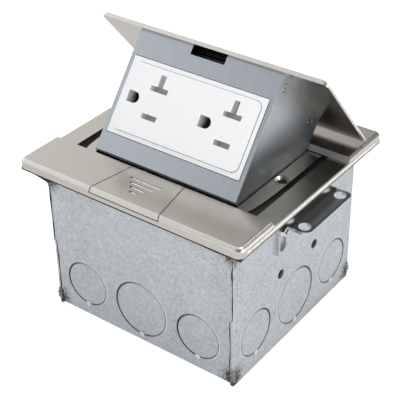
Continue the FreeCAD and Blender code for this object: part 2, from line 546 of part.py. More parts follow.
for side, sign in (("right", "1"), ("left", "-1")):
    strip = new_body("pocket_strip_" + side)
    slab(strip, "XY", "box_height", "box_height + strip_top", [
        [(sign + " * (%s)" % x, y) for x, y in strip_outline("0")],
        (sign + " * strip_hole_x", "strip_hole_y", "screw_head_r + 0.2")])
    hole = strip.newObject("PartDesign::SubtractiveCone", strip.Label + "_countersink")
    hole.setExpression("Radius1", full("screw_head_r + 0.2"))
    hole.setExpression("Radius2", full("strip_hole_r"))
    hole.setExpression("Height", full("strip_top"))
    hole.Placement = FreeCAD.Placement(
        V(float(sign) * size("strip_hole_x"), size("strip_hole_y"), size("box_height")), FreeCAD.Rotation())
    strip.Tip = hole

moat = new_body("moat_gasket_pattern")
slab(moat, "XY", "-gasket_top / 2", "gasket_top / 2", [
    strip_edge("moat_gap") + [("strip_outer + moat_gap", "strip_back"), ("opening_half - moat_gap", "strip_back"),
                              ("opening_half - moat_gap", "strip_front")]])
moat_z = size("box_height + gasket_top / 2")
group("moat_gaskets", moat, [
    FreeCAD.Placement(V(0, 0, moat_z), FreeCAD.Rotation()),
    FreeCAD.Placement(V(0, 0, moat_z), FreeCAD.Rotation(V(0, 1, 0), 180))])

strip_screw = screw("strip_screw_pattern", size("screw_head_r"), 1.0, size("screw_r"), 7.0)
group("strip_screws", strip_screw, [
    FreeCAD.Placement(V(s * size("strip_hole_x"), size("strip_hole_y"), size("box_height")),
                      FreeCAD.Rotation()) for s in (1, -1)])
cover_screw = screw("cover_screw_pattern", 2.8, 1.8, size("boss_r"), size("carrier_sheet + boss_depth") - 0.3)
group("cover_screws", cover_screw, [
    facing(sx * size("boss_x"), sy * size("boss_y"), size("carrier_low"), (0, 0, -1))
    for sx in (1, -1) for sy in (1, -1)])

# ---------------------------------------------------------------- hinge

pin_start = "(shell_half - side_sheet - 1.4)"
pin_reach = "(cheek_inner + cheek_sheet + 0.4 - %s)" % pin_start
pin = turned("pivot_pin_pattern", [
    ("0", "0"), ("pin_r + 1.4", "0"), ("pin_r + 1.4", "1.1"), ("pin_r", "1.1"), ("pin_r", pin_reach),
    ("0", pin_reach)])
group("pivot_pins", pin, [
    facing(s * size(pin_start), size("pivot_y"), size("pivot_z"), (s, 0, 0)) for s in (1, -1)])
stop_start = "(shell_half - side_sheet - 0.1)"
stop_reach = "(cheek_inner + cheek_sheet + 0.2 - %s)" % stop_start
stop = turned("stop_pin_pattern", [("0", "0"), ("stop_r", "0"), ("stop_r", stop_reach), ("0", stop_reach)])
group("stop_pins", stop, [
    facing(s * size(stop_start), size("stop_y"), size("stop_z"), (s, 0, 0)) for s in (1, -1)])

torsion = []
wound_x, wound_low = size("shell_half + spring_gap"), size("pivot_z - spring_r")
for sign in (1, -1):
    winding = coil(size("spring_r"), 0.4, 1.0, 2.0)
    winding.Placement = facing(wound_x, size("pivot_y"), size("pivot_z"), (1, 0, 0))
    tail = Part.makeBox(0.8, 6.6, 0.8, V(wound_x - 0.4, size("pivot_y"), wound_low - 0.4), V(0, 0, 1))
    tail.rotate(V(wound_x, size("pivot_y"), wound_low), V(1, 0, 0), -19)
    both = winding.fuse(tail)
    torsion.append(both if sign > 0 else both.mirror(V(0, 0, 0), V(1, 0, 0)))
torsion_springs = doc.addObject("Part::Feature", "torsion_springs")
torsion_springs.Label = "torsion_springs"
torsion_springs.Shape = Part.makeCompound(torsion)
parts.append(torsion_springs)

# ---------------------------------------------------------------- lid

lid = new_body("lid")
slab(lid, "XY", "-lid_sheet", "0", [rectangle("-" + half_w, half_w, "0", "lid_length")])
front_corner = lambda p: near(p.y, 0) and near(abs(p.x), size(half_w))
dress(lid, "Fillet", "lid_corner", [
    entry[0] for entry in pick_edges(lid, front_corner) if upright(entry)])
for sign in ("1", "-1"):
    flank = "%s * (cover_width / 2 + 1)" % sign
    cut(lid, "XZ", "-1", "lid_length + 1", [[
        ("%s * (cover_width / 2 - lid_bevel)" % sign, "0"), (flank, "0"), (flank, "-lid_bevel - 1")]])
cut(lid, "YZ", "-cover_width", "cover_width", [[
    ("lid_length - lid_heel", "-lid_sheet"), ("lid_length + 1", "-lid_sheet"),
    ("lid_length + 1", "lid_heel - lid_sheet + 1")]])
lid_holes = [(x, y, "1.25") for x in ("-lid_screw_x", "lid_screw_x") for y in ("lid_screw_y1", "lid_screw_y2")]
cut(lid, "XY", "-lid_sheet - 1", "-0.7", lid_holes)
lid.Placement = lid_place

channel = new_body("lid_channel")
inside, channel_back = "(shell_half - side_sheet - side_room)", "(lid_length - channel_short)"
slab(channel, "XY", "-lid_sheet - shell_sheet", "-lid_sheet", [
    [("-" + inside, "channel_front"), ("-(notch_half + 2)", "channel_front"), ("-(notch_half + 2)", "channel_front + 8"),
     ("notch_half + 2", "channel_front + 8"), ("notch_half + 2", "channel_front"), (inside, "channel_front"),
     (inside, channel_back), ("-" + inside, channel_back)]] + lid_holes)
for sign in ("1", "-1"):
    span = sorted([sign + " * (%s - 1.5)" % inside, sign + " * " + inside], key=size)
    slab(channel, "XY", "-lid_sheet - bracket_drop", "-lid_sheet - 0.5", [
        rectangle(span[0], span[1], "channel_front", channel_back)])
shell_in_lid = lid_place.inverse().multiply(shell_place)
for w in ("side_screw_w1", "side_screw_w2"):
    tapped = shell_in_lid.multVec(V(0, size(w), size(LID_UNDER % w) - size("side_screw_drop")))
    cut(channel, "YZ", "-cover_width", "cover_width", [(str(tapped.y), str(tapped.z), "1.25")])
channel.Placement = lid_place

lid_screw = screw("lid_screw_pattern", 2.4, 1.5, 1.25, 2.4)
group("lid_screws", lid_screw, [
    lid_place.multiply(facing(x, y, size("-lid_sheet - shell_sheet"), (0, 0, -1)))
    for x in (-size("lid_screw_x"), size("lid_screw_x")) for y in (size("lid_screw_y1"), size("lid_screw_y2"))])

# ---------------------------------------------------------------- pop-up housing

front_panel = new_body("housing_front")
slab(front_panel, "YZ", "-shell_half", "shell_half", [[
    ("0", "0"), ("shell_depth", "0"), ("shell_depth", "shell_sheet"), ("shell_sheet", "shell_sheet"),
    ("shell_sheet", LID_UNDER % "shell_sheet"), ("0", LID_UNDER % "0")]])
outer_fold = [n for n, e, t in pick_edges(front_panel, lambda p: near(p.y, 0) and near(p.z, 0))]
dress(front_panel, "Fillet", "shell_bend", outer_fold)
sheet = size("shell_sheet")
inner_fold = [n for n, e, t in pick_edges(front_panel, lambda p: near(p.y, sheet) and near(p.z, sheet))]
dress(front_panel, "Fillet", "shell_bend - shell_sheet", inner_fold)
cut(front_panel, "XZ", "-2", "4", [
    rectangle("-window_w / 2", "window_w / 2", "window_low", "window_high")])
cut(front_panel, "XZ", "-2", "4", [
    rectangle("-notch_half", "notch_half", "notch_low", "shell_height + 2")])
for x in ("-stud_x", "stud_x"):
    for z in ("rim_low + stud_inset", "rim_high - stud_inset"):
        slab(front_panel, "XZ", "shell_sheet - 0.3", "shell_sheet + stud_length", [(x, z, "stud_r")])
cut(front_panel, "XY", "-1", "2", [("0", "cord_deep", "cord_r")])
front_panel.Placement = shell_place

for side, sign in (("right", "1"), ("left", "-1")):
    panel = new_body("housing_side_" + side)
    span = sorted([sign + " * (shell_half - side_sheet)", sign + " * shell_half"], key=size)
    low, near_front = "shell_sheet", "(shell_sheet)"
    fold = "(shell_bend - shell_sheet)"
    slab(panel, "YZ", span[0], span[1], [
        [(near_front, "shell_bend"), ("shell_sheet + %s * 0.293" % fold, "shell_sheet + %s * 0.293" % fold),
         ("shell_bend", low), ("shell_depth", low), ("shell_depth", "pivot_v - 9"),
         ("pivot_w", "pivot_v - arm_r"), ("pivot_w + 4.4", "pivot_v - 3.3"), ("pivot_w + arm_r", "pivot_v"),
         ("pivot_w + 4.4", "pivot_v + 3.3"), ("pivot_w", "pivot_v + arm_r"),
         ("shell_depth + 3", "pivot_v - 1.8"), ("shell_depth", "pivot_v + 1"),
         ("shell_depth", LID_UNDER % "shell_depth"), (near_front, LID_UNDER % near_front)],
        ("pivot_w", "pivot_v", "pin_r + running_gap")])
    for w in ("side_screw_w1", "side_screw_w2"):
        height = (LID_UNDER % w) + " - side_screw_drop"
        cut(panel, "YZ", "-cover_width", "cover_width", [(w, height, "1.25")])
        sunk = sorted([sign + " * (shell_half - screw_sink)", sign + " * (shell_half + 1)"], key=size)
        cut(panel, "YZ", sunk[0], sunk[1], [(w, height, "1.95")])
    panel.Placement = shell_place

side_screw = screw("side_screw_pattern", 1.9, 0.75, 1.25, 2.5)
drop = size("side_screw_drop")
group("housing_side_screws", side_screw, [
    shell_place.multiply(facing(s * size("shell_half - screw_sink"), size(w), size(LID_UNDER % w) - drop, (s, 0, 0)))
    for s in (1, -1) for w in ("side_screw_w1", "side_screw_w2")])

back_panel = new_body("housing_back")
slab(back_panel, "XZ", "shell_depth - shell_sheet", "shell_depth", [
    rectangle("side_sheet - shell_half", "shell_half - side_sheet", "shell_sheet", LID_UNDER % "shell_depth" + " - back_drop"),
    ("0", "cord_low", "cord_r")])
back_panel.Placement = shell_place

bush = turned("cord_bush_pattern", [
    ("6.5", "-2"), ("cord_r", "-2"), ("cord_r", "1.2"), ("cord_r + 1.8", "1.2"), ("cord_r + 1.8", "2.4"),
    ("6.5", "2.4")])
group("cord_bushings", bush, [
    shell_place.multiply(facing(0, size("shell_depth - shell_sheet"), size("cord_low"), (0, 1, 0))),
    shell_place.multiply(facing(0, size("cord_deep"), size("shell_sheet"), (0, 0, -1)))])

keeper = new_body("latch_keeper")
slab(keeper, "XZ", "shell_sheet + 1.6", "shell_sheet + 6.5", [
    rectangle("-keeper_half", "keeper_half", "rim_high + 0.4", "notch_low + 0.4")])
slab(keeper, "XZ", "shell_sheet + 5.3", "shell_sheet + 6.5", [
    rectangle("-keeper_half", "keeper_half", "rim_high + 0.9", "notch_low + 1.9")])
keeper.Placement = shell_place

# ---------------------------------------------------------------- receptacle

face = new_body("receptacle_face")
left, right = "-face_half_w", "face_half_w"
bottom, top = "(face_centre - face_half_h)", "(face_centre + face_half_h)"
slab(face, "XZ", "shell_sheet + 0.1", "rim_back", [
    rectangle("-rim_w", "rim_w", "rim_low", "rim_high")]
    + [(x, z, "stud_r + stud_gap") for x in ("-stud_x", "stud_x")
       for z in ("rim_low + stud_inset", "rim_high - stud_inset")])
slab(face, "XZ", "-face_proud", "rim_back", [rectangle(left, right, bottom, top)])
slab(face, "XZ", "-field_proud", "0.5", [rectangle(
    left + " + field_inset", right + " - field_inset", bottom + " + field_inset", top + " - field_inset")])
field = [n for n, e, t in pick_edges(face, lambda p: near(p.y, -size("field_proud")) or near(p.y, -size("face_proud")))
         if abs(t[0].y - t[1].y) > 0.1]
dress(face, "Fillet", "field_corner", field)
for centre in ("-plug_x", "plug_x"):
    cx = "(%s + plug_shift)" % centre
    hot = "(face_centre - blade_pitch / 2)"
    neutral = "(face_centre + blade_pitch / 2)"
    cut(face, "XZ", "-3", "6", [rectangle(cx + " - hot_half", cx + " + hot_half", hot + " - slot_half", hot + " + slot_half")])
    cut(face, "XZ", "-3", "6", [[
        (cx + " - tee_half", neutral + " - slot_half"), (cx + " + tee_half", neutral + " - slot_half"),
        (cx + " + tee_half", neutral + " + slot_half"), (cx + " + tee_stem_half", neutral + " + slot_half"),
        (cx + " + tee_stem_half", neutral + " + tee_stem_top"), (cx + " - tee_stem_half", neutral + " + tee_stem_top"),
        (cx + " - tee_stem_half", neutral + " + slot_half"), (cx + " - tee_half", neutral + " + slot_half")]])
    gx = "(%s + ground_left)" % centre
    cut(face, "XZ", "-3", "6", [rectangle(gx, gx + " + ground_len - ground_half", "face_centre - ground_half", "face_centre + ground_half")])
    cut(face, "XZ", "-3", "6", [(gx + " + ground_len - ground_half", "face_centre", "ground_half")])
face.Placement = shell_place

body_front = "rim_back"
block = new_body("receptacle_body")
slab(block, "XZ", body_front, "body_back", [
    rectangle("-body_half_w", "body_half_w", "face_centre - body_half_h", "face_centre + body_half_h")])
for centre in ("-plug_x", "plug_x"):
    cx = "(%s + plug_shift)" % centre
    # the shutter's chamber, then the two contact wells and the ground well behind it
    cut(block, "XZ", "rim_back - 1", "shutter_front + shutter_sheet + 0.3", [rectangle(
        cx + " - tee_half - 0.5", cx + " + tee_half + 0.5", "face_centre - 11.2", "face_centre + 16.0")])
    for low, high in (("face_centre - 9.0", "face_centre - 3.7"), ("face_centre + 3.7", "face_centre + 14.0")):
        cut(block, "XZ", "4", "clip_back + well_gap", [rectangle(cx + " - tee_half", cx + " + tee_half", low, high)])
    gx = "(%s + ground_left)" % centre
    cut(block, "XZ", "rim_back - 1", "clip_back + well_gap", [rectangle(
        gx + " - 0.8", gx + " + ground_len + 0.4", "face_centre - 3.4", "face_centre + 3.4")])
for low, high in (("face_centre - body_half_h - 1", "face_centre - body_half_h + terminal_bite"),
                  ("face_centre + body_half_h - terminal_bite", "face_centre + body_half_h + 1")):
    cut(block, "XY", low, high, [(x, "terminal_deep", "terminal_r") for x in ("terminal_x", "-terminal_x")])
block.Placement = shell_place

for side, centre in (("left", "-plug_x"), ("right", "plug_x")):
    shutter = new_body("shutter_" + side)
    cx = "(%s + plug_shift)" % centre
    slab(shutter, "XZ", "shutter_front", "shutter_front + shutter_sheet", [rectangle(
        cx + " - tee_half - 0.2", cx + " + tee_half + 0.2", "face_centre - 11.0", "face_centre + 13.3")])
    for middle in ("face_centre - blade_pitch / 2 - shutter_travel", "face_centre + blade_pitch / 2 - shutter_travel"):
        cut(shutter, "XZ", "shutter_front - 1", "shutter_front + 3", [rectangle(
            cx + " - hot_half - 0.1", cx + " + hot_half + 0.1", middle + " - 1.25", middle + " + 1.25")])
    shutter.Placement = shell_place

# Sprung contacts: one clip behind each slot, and one strap of ground clips.
for name, low, high in (("hot", -9.0, -3.7), ("neutral", 3.7, 14.0)):
    clips = new_body(name + "_contact_pattern")
    slab(clips, "XZ", "clip_front", "clip_back", [
        [("-3.9", str(low + 0.2)), ("3.9", str(low + 0.2)), ("3.9", str(high - 0.2)), ("-3.9", str(high - 0.2))],
        [("-3.2", str(low + 1.0)), ("3.2", str(low + 1.0)), ("3.2", str(high - 1.0)), ("-3.2", str(high - 1.0))]])
    group(name + "_contacts", clips, [
        shell_place.multiply(FreeCAD.Placement(V(s * size("plug_x") + size("plug_shift"), 0, size("face_centre")),
                                               FreeCAD.Rotation())) for s in (-1, 1)])
ground_clip = new_body("ground_contact_pattern")
slab(ground_clip, "XZ", "clip_front", "clip_back", [
    rectangle("-0.4", "ground_len + 0.1", "-3.2", "3.2"), rectangle("0.3", "ground_len - 0.6", "-2.5", "2.5")])
group("ground_contacts", ground_clip, [
    shell_place.multiply(FreeCAD.Placement(V(s * size("plug_x") + size("ground_left"), 0, size("face_centre")),
                                           FreeCAD.Rotation())) for s in (-1, 1)])

strap = new_body("receptacle_strap")
strap_in, strap_out = "(body_half_h + strap_gap)", "(body_half_h + strap_gap + strap_sheet)"
slab(strap, "XZ", "body_back", "body_back + strap_sheet", [rectangle(
    "-strap_x - strap_half", "strap_x + strap_half", "face_centre - " + strap_out, "face_centre + " + strap_out)])
for x in ("-strap_x", "strap_x"):
    for sign, tip in (("-", "rim_low + strap_short"), ("+", "rim_high - strap_short")):
        leg = sorted(["face_centre %s %s" % (sign, edge) for edge in (strap_in, strap_out)], key=size)
        slab(strap, "XZ", "rim_back", "body_back + 0.5", [
            rectangle(x + " - strap_half", x + " + strap_half", leg[0], leg[1])])
        ear = sorted([tip, "face_centre %s (%s + 0.5)" % (sign, strap_in)], key=size)
        slab(strap, "XZ", "rim_back", "rim_back + strap_sheet", [
            rectangle(x + " - strap_half", x + " + strap_half", ear[0], ear[1])])
cut(strap, "XZ", "rim_back - 1", "rim_back + 2", [
    (x, z, "stud_r + stud_gap") for x in ("-stud_x", "stud_x")
    for z in ("rim_low + stud_inset", "rim_high - stud_inset")])
strap.Placement = shell_place

nut = new_body("strap_nut_pattern")
flat = 2.3
hexagon = [(str(round(flat * math.cos(math.radians(a)), 4)), str(round(flat * math.sin(math.radians(a)), 4)))
           for a in range(0, 360, 60)]
slab(nut, "XY", "0", "1.8", [hexagon, ("0", "0", "stud_r")])
group("strap_nuts", nut, [
    shell_place.multiply(facing(x, size("rim_back + strap_sheet"), z, (0, 1, 0)))
    for x in (-size("stud_x"), size("stud_x"))
    for z in (size("rim_low + stud_inset"), size("rim_high - stud_inset"))])

for name, sign in (("hot", -1), ("neutral", 1)):
    terminal = screw(name + "_terminal_pattern", 2.6, 1.5, size("terminal_r"), size("terminal_bite") - 0.1)
    group(name + "_terminal_screws", terminal, [
        shell_place.multiply(facing(x, size("terminal_deep"), size("face_centre") + sign * size("body_half_h"), (0, 0, sign)))
        for x in (-size("terminal_x"), size("terminal_x"))])

# ---------------------------------------------------------------- write

doc.recompute()
faults = [item.Label for item in doc.Objects if "Invalid" in item.State or "Error" in item.State]
if faults:
    raise RuntimeError("not computed: " + ", ".join(faults))
for item in parts:
    shape = item.Shape
    if shape.isNull() or not shape.isValid() or not shape.Solids:
        raise RuntimeError("bad shape: " + item.Label)
    shape.exportStep("parts/%s.step" % item.Label)
    box = shape.BoundBox
    print("%-26s %2d solids  x %.1f..%.1f  y %.1f..%.1f  z %.1f..%.1f" % (
        item.Label, len(shape.Solids), box.XMin, box.XMax, box.YMin, box.YMax, box.ZMin, box.ZMax))
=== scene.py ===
"""Looks of the pop-up floor socket box.

Finishes for its metal, plastic and rubber pieces, weld beads, seams, bright edges that are painted highlights, and a
pale studio."""

import math

import bpy
import numpy as np
from bpy.props import FloatProperty, FloatVectorProperty, IntProperty, PointerProperty
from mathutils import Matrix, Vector


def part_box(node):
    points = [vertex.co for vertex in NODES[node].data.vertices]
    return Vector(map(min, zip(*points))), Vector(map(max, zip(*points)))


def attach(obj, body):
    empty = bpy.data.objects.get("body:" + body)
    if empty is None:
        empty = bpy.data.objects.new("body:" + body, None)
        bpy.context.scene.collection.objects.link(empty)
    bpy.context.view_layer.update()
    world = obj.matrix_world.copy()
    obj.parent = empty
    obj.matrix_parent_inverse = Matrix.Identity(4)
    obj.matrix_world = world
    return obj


bl_info = {
    "name": "Floor Socket Box Looks",
    "version": (1, 0, 0),
    "blender": (4, 5, 0),
    "location": "View3D > Sidebar > Floor Box",
    "description": "Finishes, weld beads, seams and studio for a pop-up floor socket box",
    "category": "Object",
}

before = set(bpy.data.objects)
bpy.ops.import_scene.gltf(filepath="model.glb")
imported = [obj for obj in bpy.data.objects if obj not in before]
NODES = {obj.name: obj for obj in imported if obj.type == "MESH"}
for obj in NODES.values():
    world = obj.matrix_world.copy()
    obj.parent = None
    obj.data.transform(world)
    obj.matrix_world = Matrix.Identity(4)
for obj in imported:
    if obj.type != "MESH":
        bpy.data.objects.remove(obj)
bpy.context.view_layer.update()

HALF_WIDTH, HALF_DEPTH, BOX_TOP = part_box("box_side_right")[1]
SKIN = 0.0008                                       # a point this near the box's outside is on its wall
INSIDE = 0.0014                                     # a point deeper than this is inside the box
KNOCKOUTS = ((-0.0315, 0.0112), (0.0, 0.014), (0.0315, 0.0112))     # centre along a wall, radius
OPEN_ANGLE = math.radians(50.5)                     # how far the lid turns from closed
LEAN = math.radians(38.2)                           # how far the open housing leans back from upright
HOUSING_FOOT = Vector((0.0, -0.030015, 0.079603))   # foot of the open housing's front
LID_LENGTH = 0.057
RAIL_HEIGHT = 0.0775                                # middle of the cover's outer edge
BUTTON_GROOVES = (                                  # half length, distance from the button's back edge
    (0.0085, 0.0069), (0.0063, 0.0099), (0.0039, 0.0127), (0.0018, 0.0156))
FIELD_MIDDLE = 0.0279                               # middle of the receptacle, up from the housing's foot
FACE_LOOPS = (                                      # name, half width, half height, corner, how far it stands out
    ("field_line", 0.0336, 0.01585, 0.0033, 0.00032),
    ("rim_line", 0.03578, 0.01803, 0.0006, 0.00002))
CAMERA_TARGET = Vector((0.0106, 0.0051, 0.0687))
LAMP_TARGET = Vector((0.0, 0.0, 0.06))


# ---------------------------------------------------------------- settings

def colour_setting(name, description, default):
    """A colour that a user would change."""
    return FloatVectorProperty(name=name, description=description, default=default, size=3, min=0.0, max=1.0,
                               subtype="COLOR")


def length_setting(name, description, default):
    """A length in metres."""
    return FloatProperty(name=name, description=description, default=default, min=0.0, unit="LENGTH", precision=5)


def amount_setting(name, description, default, top=1.0):
    """A plain amount from 0 to `top`."""
    return FloatProperty(name=name, description=description, default=default, min=0.0, max=top, subtype="FACTOR")


class FloorBoxFinish(bpy.types.PropertyGroup):
    """Colours and gloss of the finishes."""
    nickel: colour_setting("Nickel", "Colour of the brushed nickel cover and lid", (0.60, 0.565, 0.52))
    nickel_roughness: amount_setting("Nickel roughness", "Roughness of the brushed nickel", 0.20)
    zinc_light: colour_setting("Zinc light", "Light tone of the galvanised box", (0.78, 0.82, 0.86))
    zinc_dark: colour_setting("Zinc dark", "Dark tone of the galvanised box", (0.36, 0.385, 0.415))
    plate: colour_setting("Plated steel", "Colour of the zinc plated small parts", (0.62, 0.63, 0.64))
    housing: colour_setting("Housing steel", "Colour of the brushed housing", (0.56, 0.605, 0.655))
    housing_roughness: amount_setting("Housing roughness", "Roughness of the brushed housing", 0.30)
    white: colour_setting("White plastic", "Colour of the receptacle face", (0.86, 0.87, 0.885))
    shutter: colour_setting("Shutter plastic", "Colour of the shutters behind the slots", (0.30, 0.30, 0.31))
    black: colour_setting("Black plastic", "Colour of the latch parts and bushings", (0.015, 0.015, 0.016))
    rubber: colour_setting("Rubber", "Colour of the gaskets", (0.012, 0.012, 0.012))
    brass: colour_setting("Brass", "Colour of the contacts", (0.70, 0.50, 0.20))
    green: colour_setting("Ground screw", "Colour of the ground screw", (0.03, 0.25, 0.08))
    scorch: colour_setting("Scorch", "Colour of the burnt zinc beside the welds", (0.060, 0.052, 0.045))
    # Colour of the painted highlight on the nickel's slopes.
    bevel_highlight: colour_setting("Bevel highlight", "Colour of the painted highlight on the slopes of the nickel", (0.95, 0.93, 0.88))


class FloorBoxDetails(bpy.types.PropertyGroup):
    """Sizes of the small pieces that are added to the box."""
    bead_radius: length_setting("Bead radius", "Half width of a weld bead", 0.0011)
    bead_length: length_setting("Bead length", "Length of a weld bead", 0.0085)
    scorch_reach: length_setting("Scorch reach", "How far the burnt zinc reaches from a corner", 0.0074)
    seam_width: length_setting("Seam width", "Half width of the dark seam beside each front corner", 0.0003)
    seam_inset: length_setting("Seam inset", "How far the seam stands in from the corner", 0.0017)
    seam_jog: length_setting("Seam jog", "How far the seam steps outwards above its jog", 0.0012)
    jog_height: length_setting("Jog height", "Height of the seam's jog", 0.036)
    # Radius of the painted highlights in the button's grooves.
    groove_highlight_radius: length_setting("Groove highlight radius", "Radius of the painted highlights in the button's grooves", 0.00030)
    groove_radius: length_setting("Groove radius", "Radius of the line round the raised receptacle field", 0.00012)
    seed: IntProperty(name="Seed", description="Seed of the random lumps on the welds", default=7, min=0)


class FloorBoxStudio(bpy.types.PropertyGroup):
    """Camera, floor and light."""
    azimuth: FloatProperty(name="Azimuth", description="Camera angle round the box", default=math.radians(35.4),
                           subtype="ANGLE")
    elevation: FloatProperty(name="Elevation", description="Camera angle above the horizon",
                             default=math.radians(32.3), subtype="ANGLE")
    distance: length_setting("Distance", "Camera distance from its target", 0.4955)
    lens: FloatProperty(name="Lens", description="Focal length on a 36 mm sensor", default=99.3, min=1.0,
                        subtype="DISTANCE_CAMERA")
    world: amount_setting("World light", "Strength of the even light at the left", 0.93, 5.0)
    shade: amount_setting("Shade", "How bright the even light is at the right, against the left", 0.03)
    key: FloatProperty(name="Key light", description="Power of the large light above", default=3.2, unit="POWER")
    side: FloatProperty(name="Side light", description="Power of the light at the right", default=6.3, unit="POWER")
    front: FloatProperty(name="Front light", description="Power of the light at the front", default=8.0, unit="POWER")


# ---------------------------------------------------------------- shader helpers

def place_node(tree, kind, inputs=None, **settings):
    """Adds a node; each input is a value, or the output socket that feeds it."""
    made = tree.nodes.new(kind)
    for key, value in settings.items():
        setattr(made, key, value)
    for key, value in (inputs or {}).items():
        if isinstance(value, bpy.types.NodeSocket):
            tree.links.new(value, made.inputs[key])
        else:
            made.inputs[key].default_value = value
    return made


def new_group(name, inputs, outputs):
    """A shader group with the named inputs (name, kind, default) and outputs (name, kind)."""
    tree = bpy.data.node_groups.new(name, "ShaderNodeTree")
    for label, kind, default in inputs:
        socket = tree.interface.new_socket(label, in_out="INPUT", socket_type="NodeSocket" + kind)
        socket.default_value = default
    for label, kind in outputs:
        tree.interface.new_socket(label, in_out="OUTPUT", socket_type="NodeSocket" + kind)
    return tree, tree.nodes.new("NodeGroupInput").outputs, tree.nodes.new("NodeGroupOutput").inputs


def math_node(tree, operation, *values):
    """A Math node with its values in order."""
    return place_node(tree, "ShaderNodeMath", dict(enumerate(values)), operation=operation).outputs[0]


def remap(tree, value, low, high, start=0.0, end=1.0):
    """Carries low..high to start..end, clamped."""
    made = place_node(tree, "ShaderNodeMapRange", {
        "Value": value, "From Min": low, "From Max": high, "To Min": start, "To Max": end}, clamp=True)
    return made.outputs[0]


def mix_colour(tree, factor, first, second):
    """The first colour where the factor is 0 and the second where it is 1."""
    return place_node(tree, "ShaderNodeMix", {0: factor, 6: first, 7: second}, data_type="RGBA").outputs[2]


def brushed_grain():
    """Long fine scratches: noise whose coordinates are stretched differently on each axis."""
    name = "brushed_grain"
    if name in bpy.data.node_groups:
        return bpy.data.node_groups[name]
    tree, source, target = new_group(name, [
        ("Vector", "Vector", (0, 0, 0)), ("Stretch", "Vector", (60, 3000, 3000)),
        ("Roughness", "Float", 0.3), ("Spread", "Float", 0.15)], [
        ("Roughness", "Float"), ("Height", "Float"), ("Mask", "Float")])
    stretched = place_node(tree, "ShaderNodeVectorMath", {0: source["Vector"], 1: source["Stretch"]},
                           operation="MULTIPLY")
    noise = place_node(tree, "ShaderNodeTexNoise", {
        "Vector": stretched.outputs[0], "Scale": 1.0, "Detail": 3.0, "Roughness": 0.6})
    centred = math_node(tree, "SUBTRACT", noise.outputs["Fac"], 0.5)
    tree.links.new(math_node(tree, "MULTIPLY_ADD", centred, source["Spread"], source["Roughness"]),
                   target["Roughness"])
    tree.links.new(noise.outputs["Fac"], target["Height"])
    tree.links.new(remap(tree, noise.outputs["Fac"], 0.35, 0.65), target["Mask"])
    return tree


def zinc_spangle():
    """Hot-dip zinc: warped cells of slightly different grey, a sharp mottle, hair cracks and small dark pits."""
    name = "zinc_spangle"
    if name in bpy.data.node_groups:
        return bpy.data.node_groups[name]
    tree, source, target = new_group(name, [
        ("Vector", "Vector", (0, 0, 0)), ("Light", "Color", (0.6, 0.6, 0.6, 1)),
        ("Dark", "Color", (0.4, 0.4, 0.4, 1)), ("Pits", "Float", 0.6), ("Cracks", "Float", 0.5)], [
        ("Color", "Color"), ("Roughness", "Float"), ("Height", "Float")])
    wander = place_node(tree, "ShaderNodeTexNoise", {
        "Vector": source["Vector"], "Scale": 420.0, "Detail": 3.0, "Roughness": 0.6})
    bent = place_node(tree, "ShaderNodeVectorMath", {
        0: wander.outputs["Color"], 1: (0.004, 0.004, 0.004), 2: source["Vector"]}, operation="MULTIPLY_ADD")
    cells = place_node(tree, "ShaderNodeTexVoronoi", {"Vector": bent.outputs[0], "Scale": 950.0})
    grey = place_node(tree, "ShaderNodeSeparateColor", {"Color": cells.outputs["Color"]})
    mottle = place_node(tree, "ShaderNodeTexNoise", {
        "Vector": source["Vector"], "Scale": 2300.0, "Detail": 3.0, "Roughness": 0.7})
    cloud = place_node(tree, "ShaderNodeTexNoise", {
        "Vector": source["Vector"], "Scale": 60.0, "Detail": 4.0, "Roughness": 0.6})
    blend = math_node(tree, "MULTIPLY_ADD", grey.outputs[0], 0.26, math_node(
        tree, "MULTIPLY", remap(tree, mottle.outputs["Fac"], 0.34, 0.66), 0.54))
    tone = math_node(tree, "ADD", blend, math_node(
        tree, "MULTIPLY", remap(tree, cloud.outputs["Fac"], 0.30, 0.70), 0.20))
    base = mix_colour(tree, tone, source["Dark"], source["Light"])
    grit = place_node(tree, "ShaderNodeTexNoise", {
        "Vector": bent.outputs[0], "Scale": 2000.0, "Detail": 2.0, "Roughness": 0.6})
    pits = math_node(tree, "MULTIPLY", math_node(
        tree, "MULTIPLY", remap(tree, grit.outputs["Fac"], 0.40, 0.33),
        remap(tree, cloud.outputs["Fac"], 0.40, 0.58)), source["Pits"])
    vein = place_node(tree, "ShaderNodeTexNoise", {
        "Vector": source["Vector"], "Scale": 190.0, "Detail": 5.0, "Roughness": 0.65, "Distortion": 0.6})
    ridge = math_node(tree, "ABSOLUTE", math_node(tree, "SUBTRACT", vein.outputs["Fac"], 0.5))
    patch = place_node(tree, "ShaderNodeTexNoise", {"Vector": source["Vector"], "Scale": 38.0, "Detail": 2.0})
    cracks = math_node(tree, "MULTIPLY", math_node(
        tree, "MULTIPLY", remap(tree, ridge, 0.010, 0.002), remap(tree, patch.outputs["Fac"], 0.50, 0.62)),
        source["Cracks"])
    marks = math_node(tree, "MAXIMUM", pits, cracks)
    tree.links.new(mix_colour(tree, marks, base, (0.10, 0.10, 0.105, 1)), target["Color"])
    tree.links.new(remap(tree, tone, 0.0, 1.0, 0.50, 0.34), target["Roughness"])
    tree.links.new(math_node(tree, "SUBTRACT", tone, marks), target["Height"])
    return tree


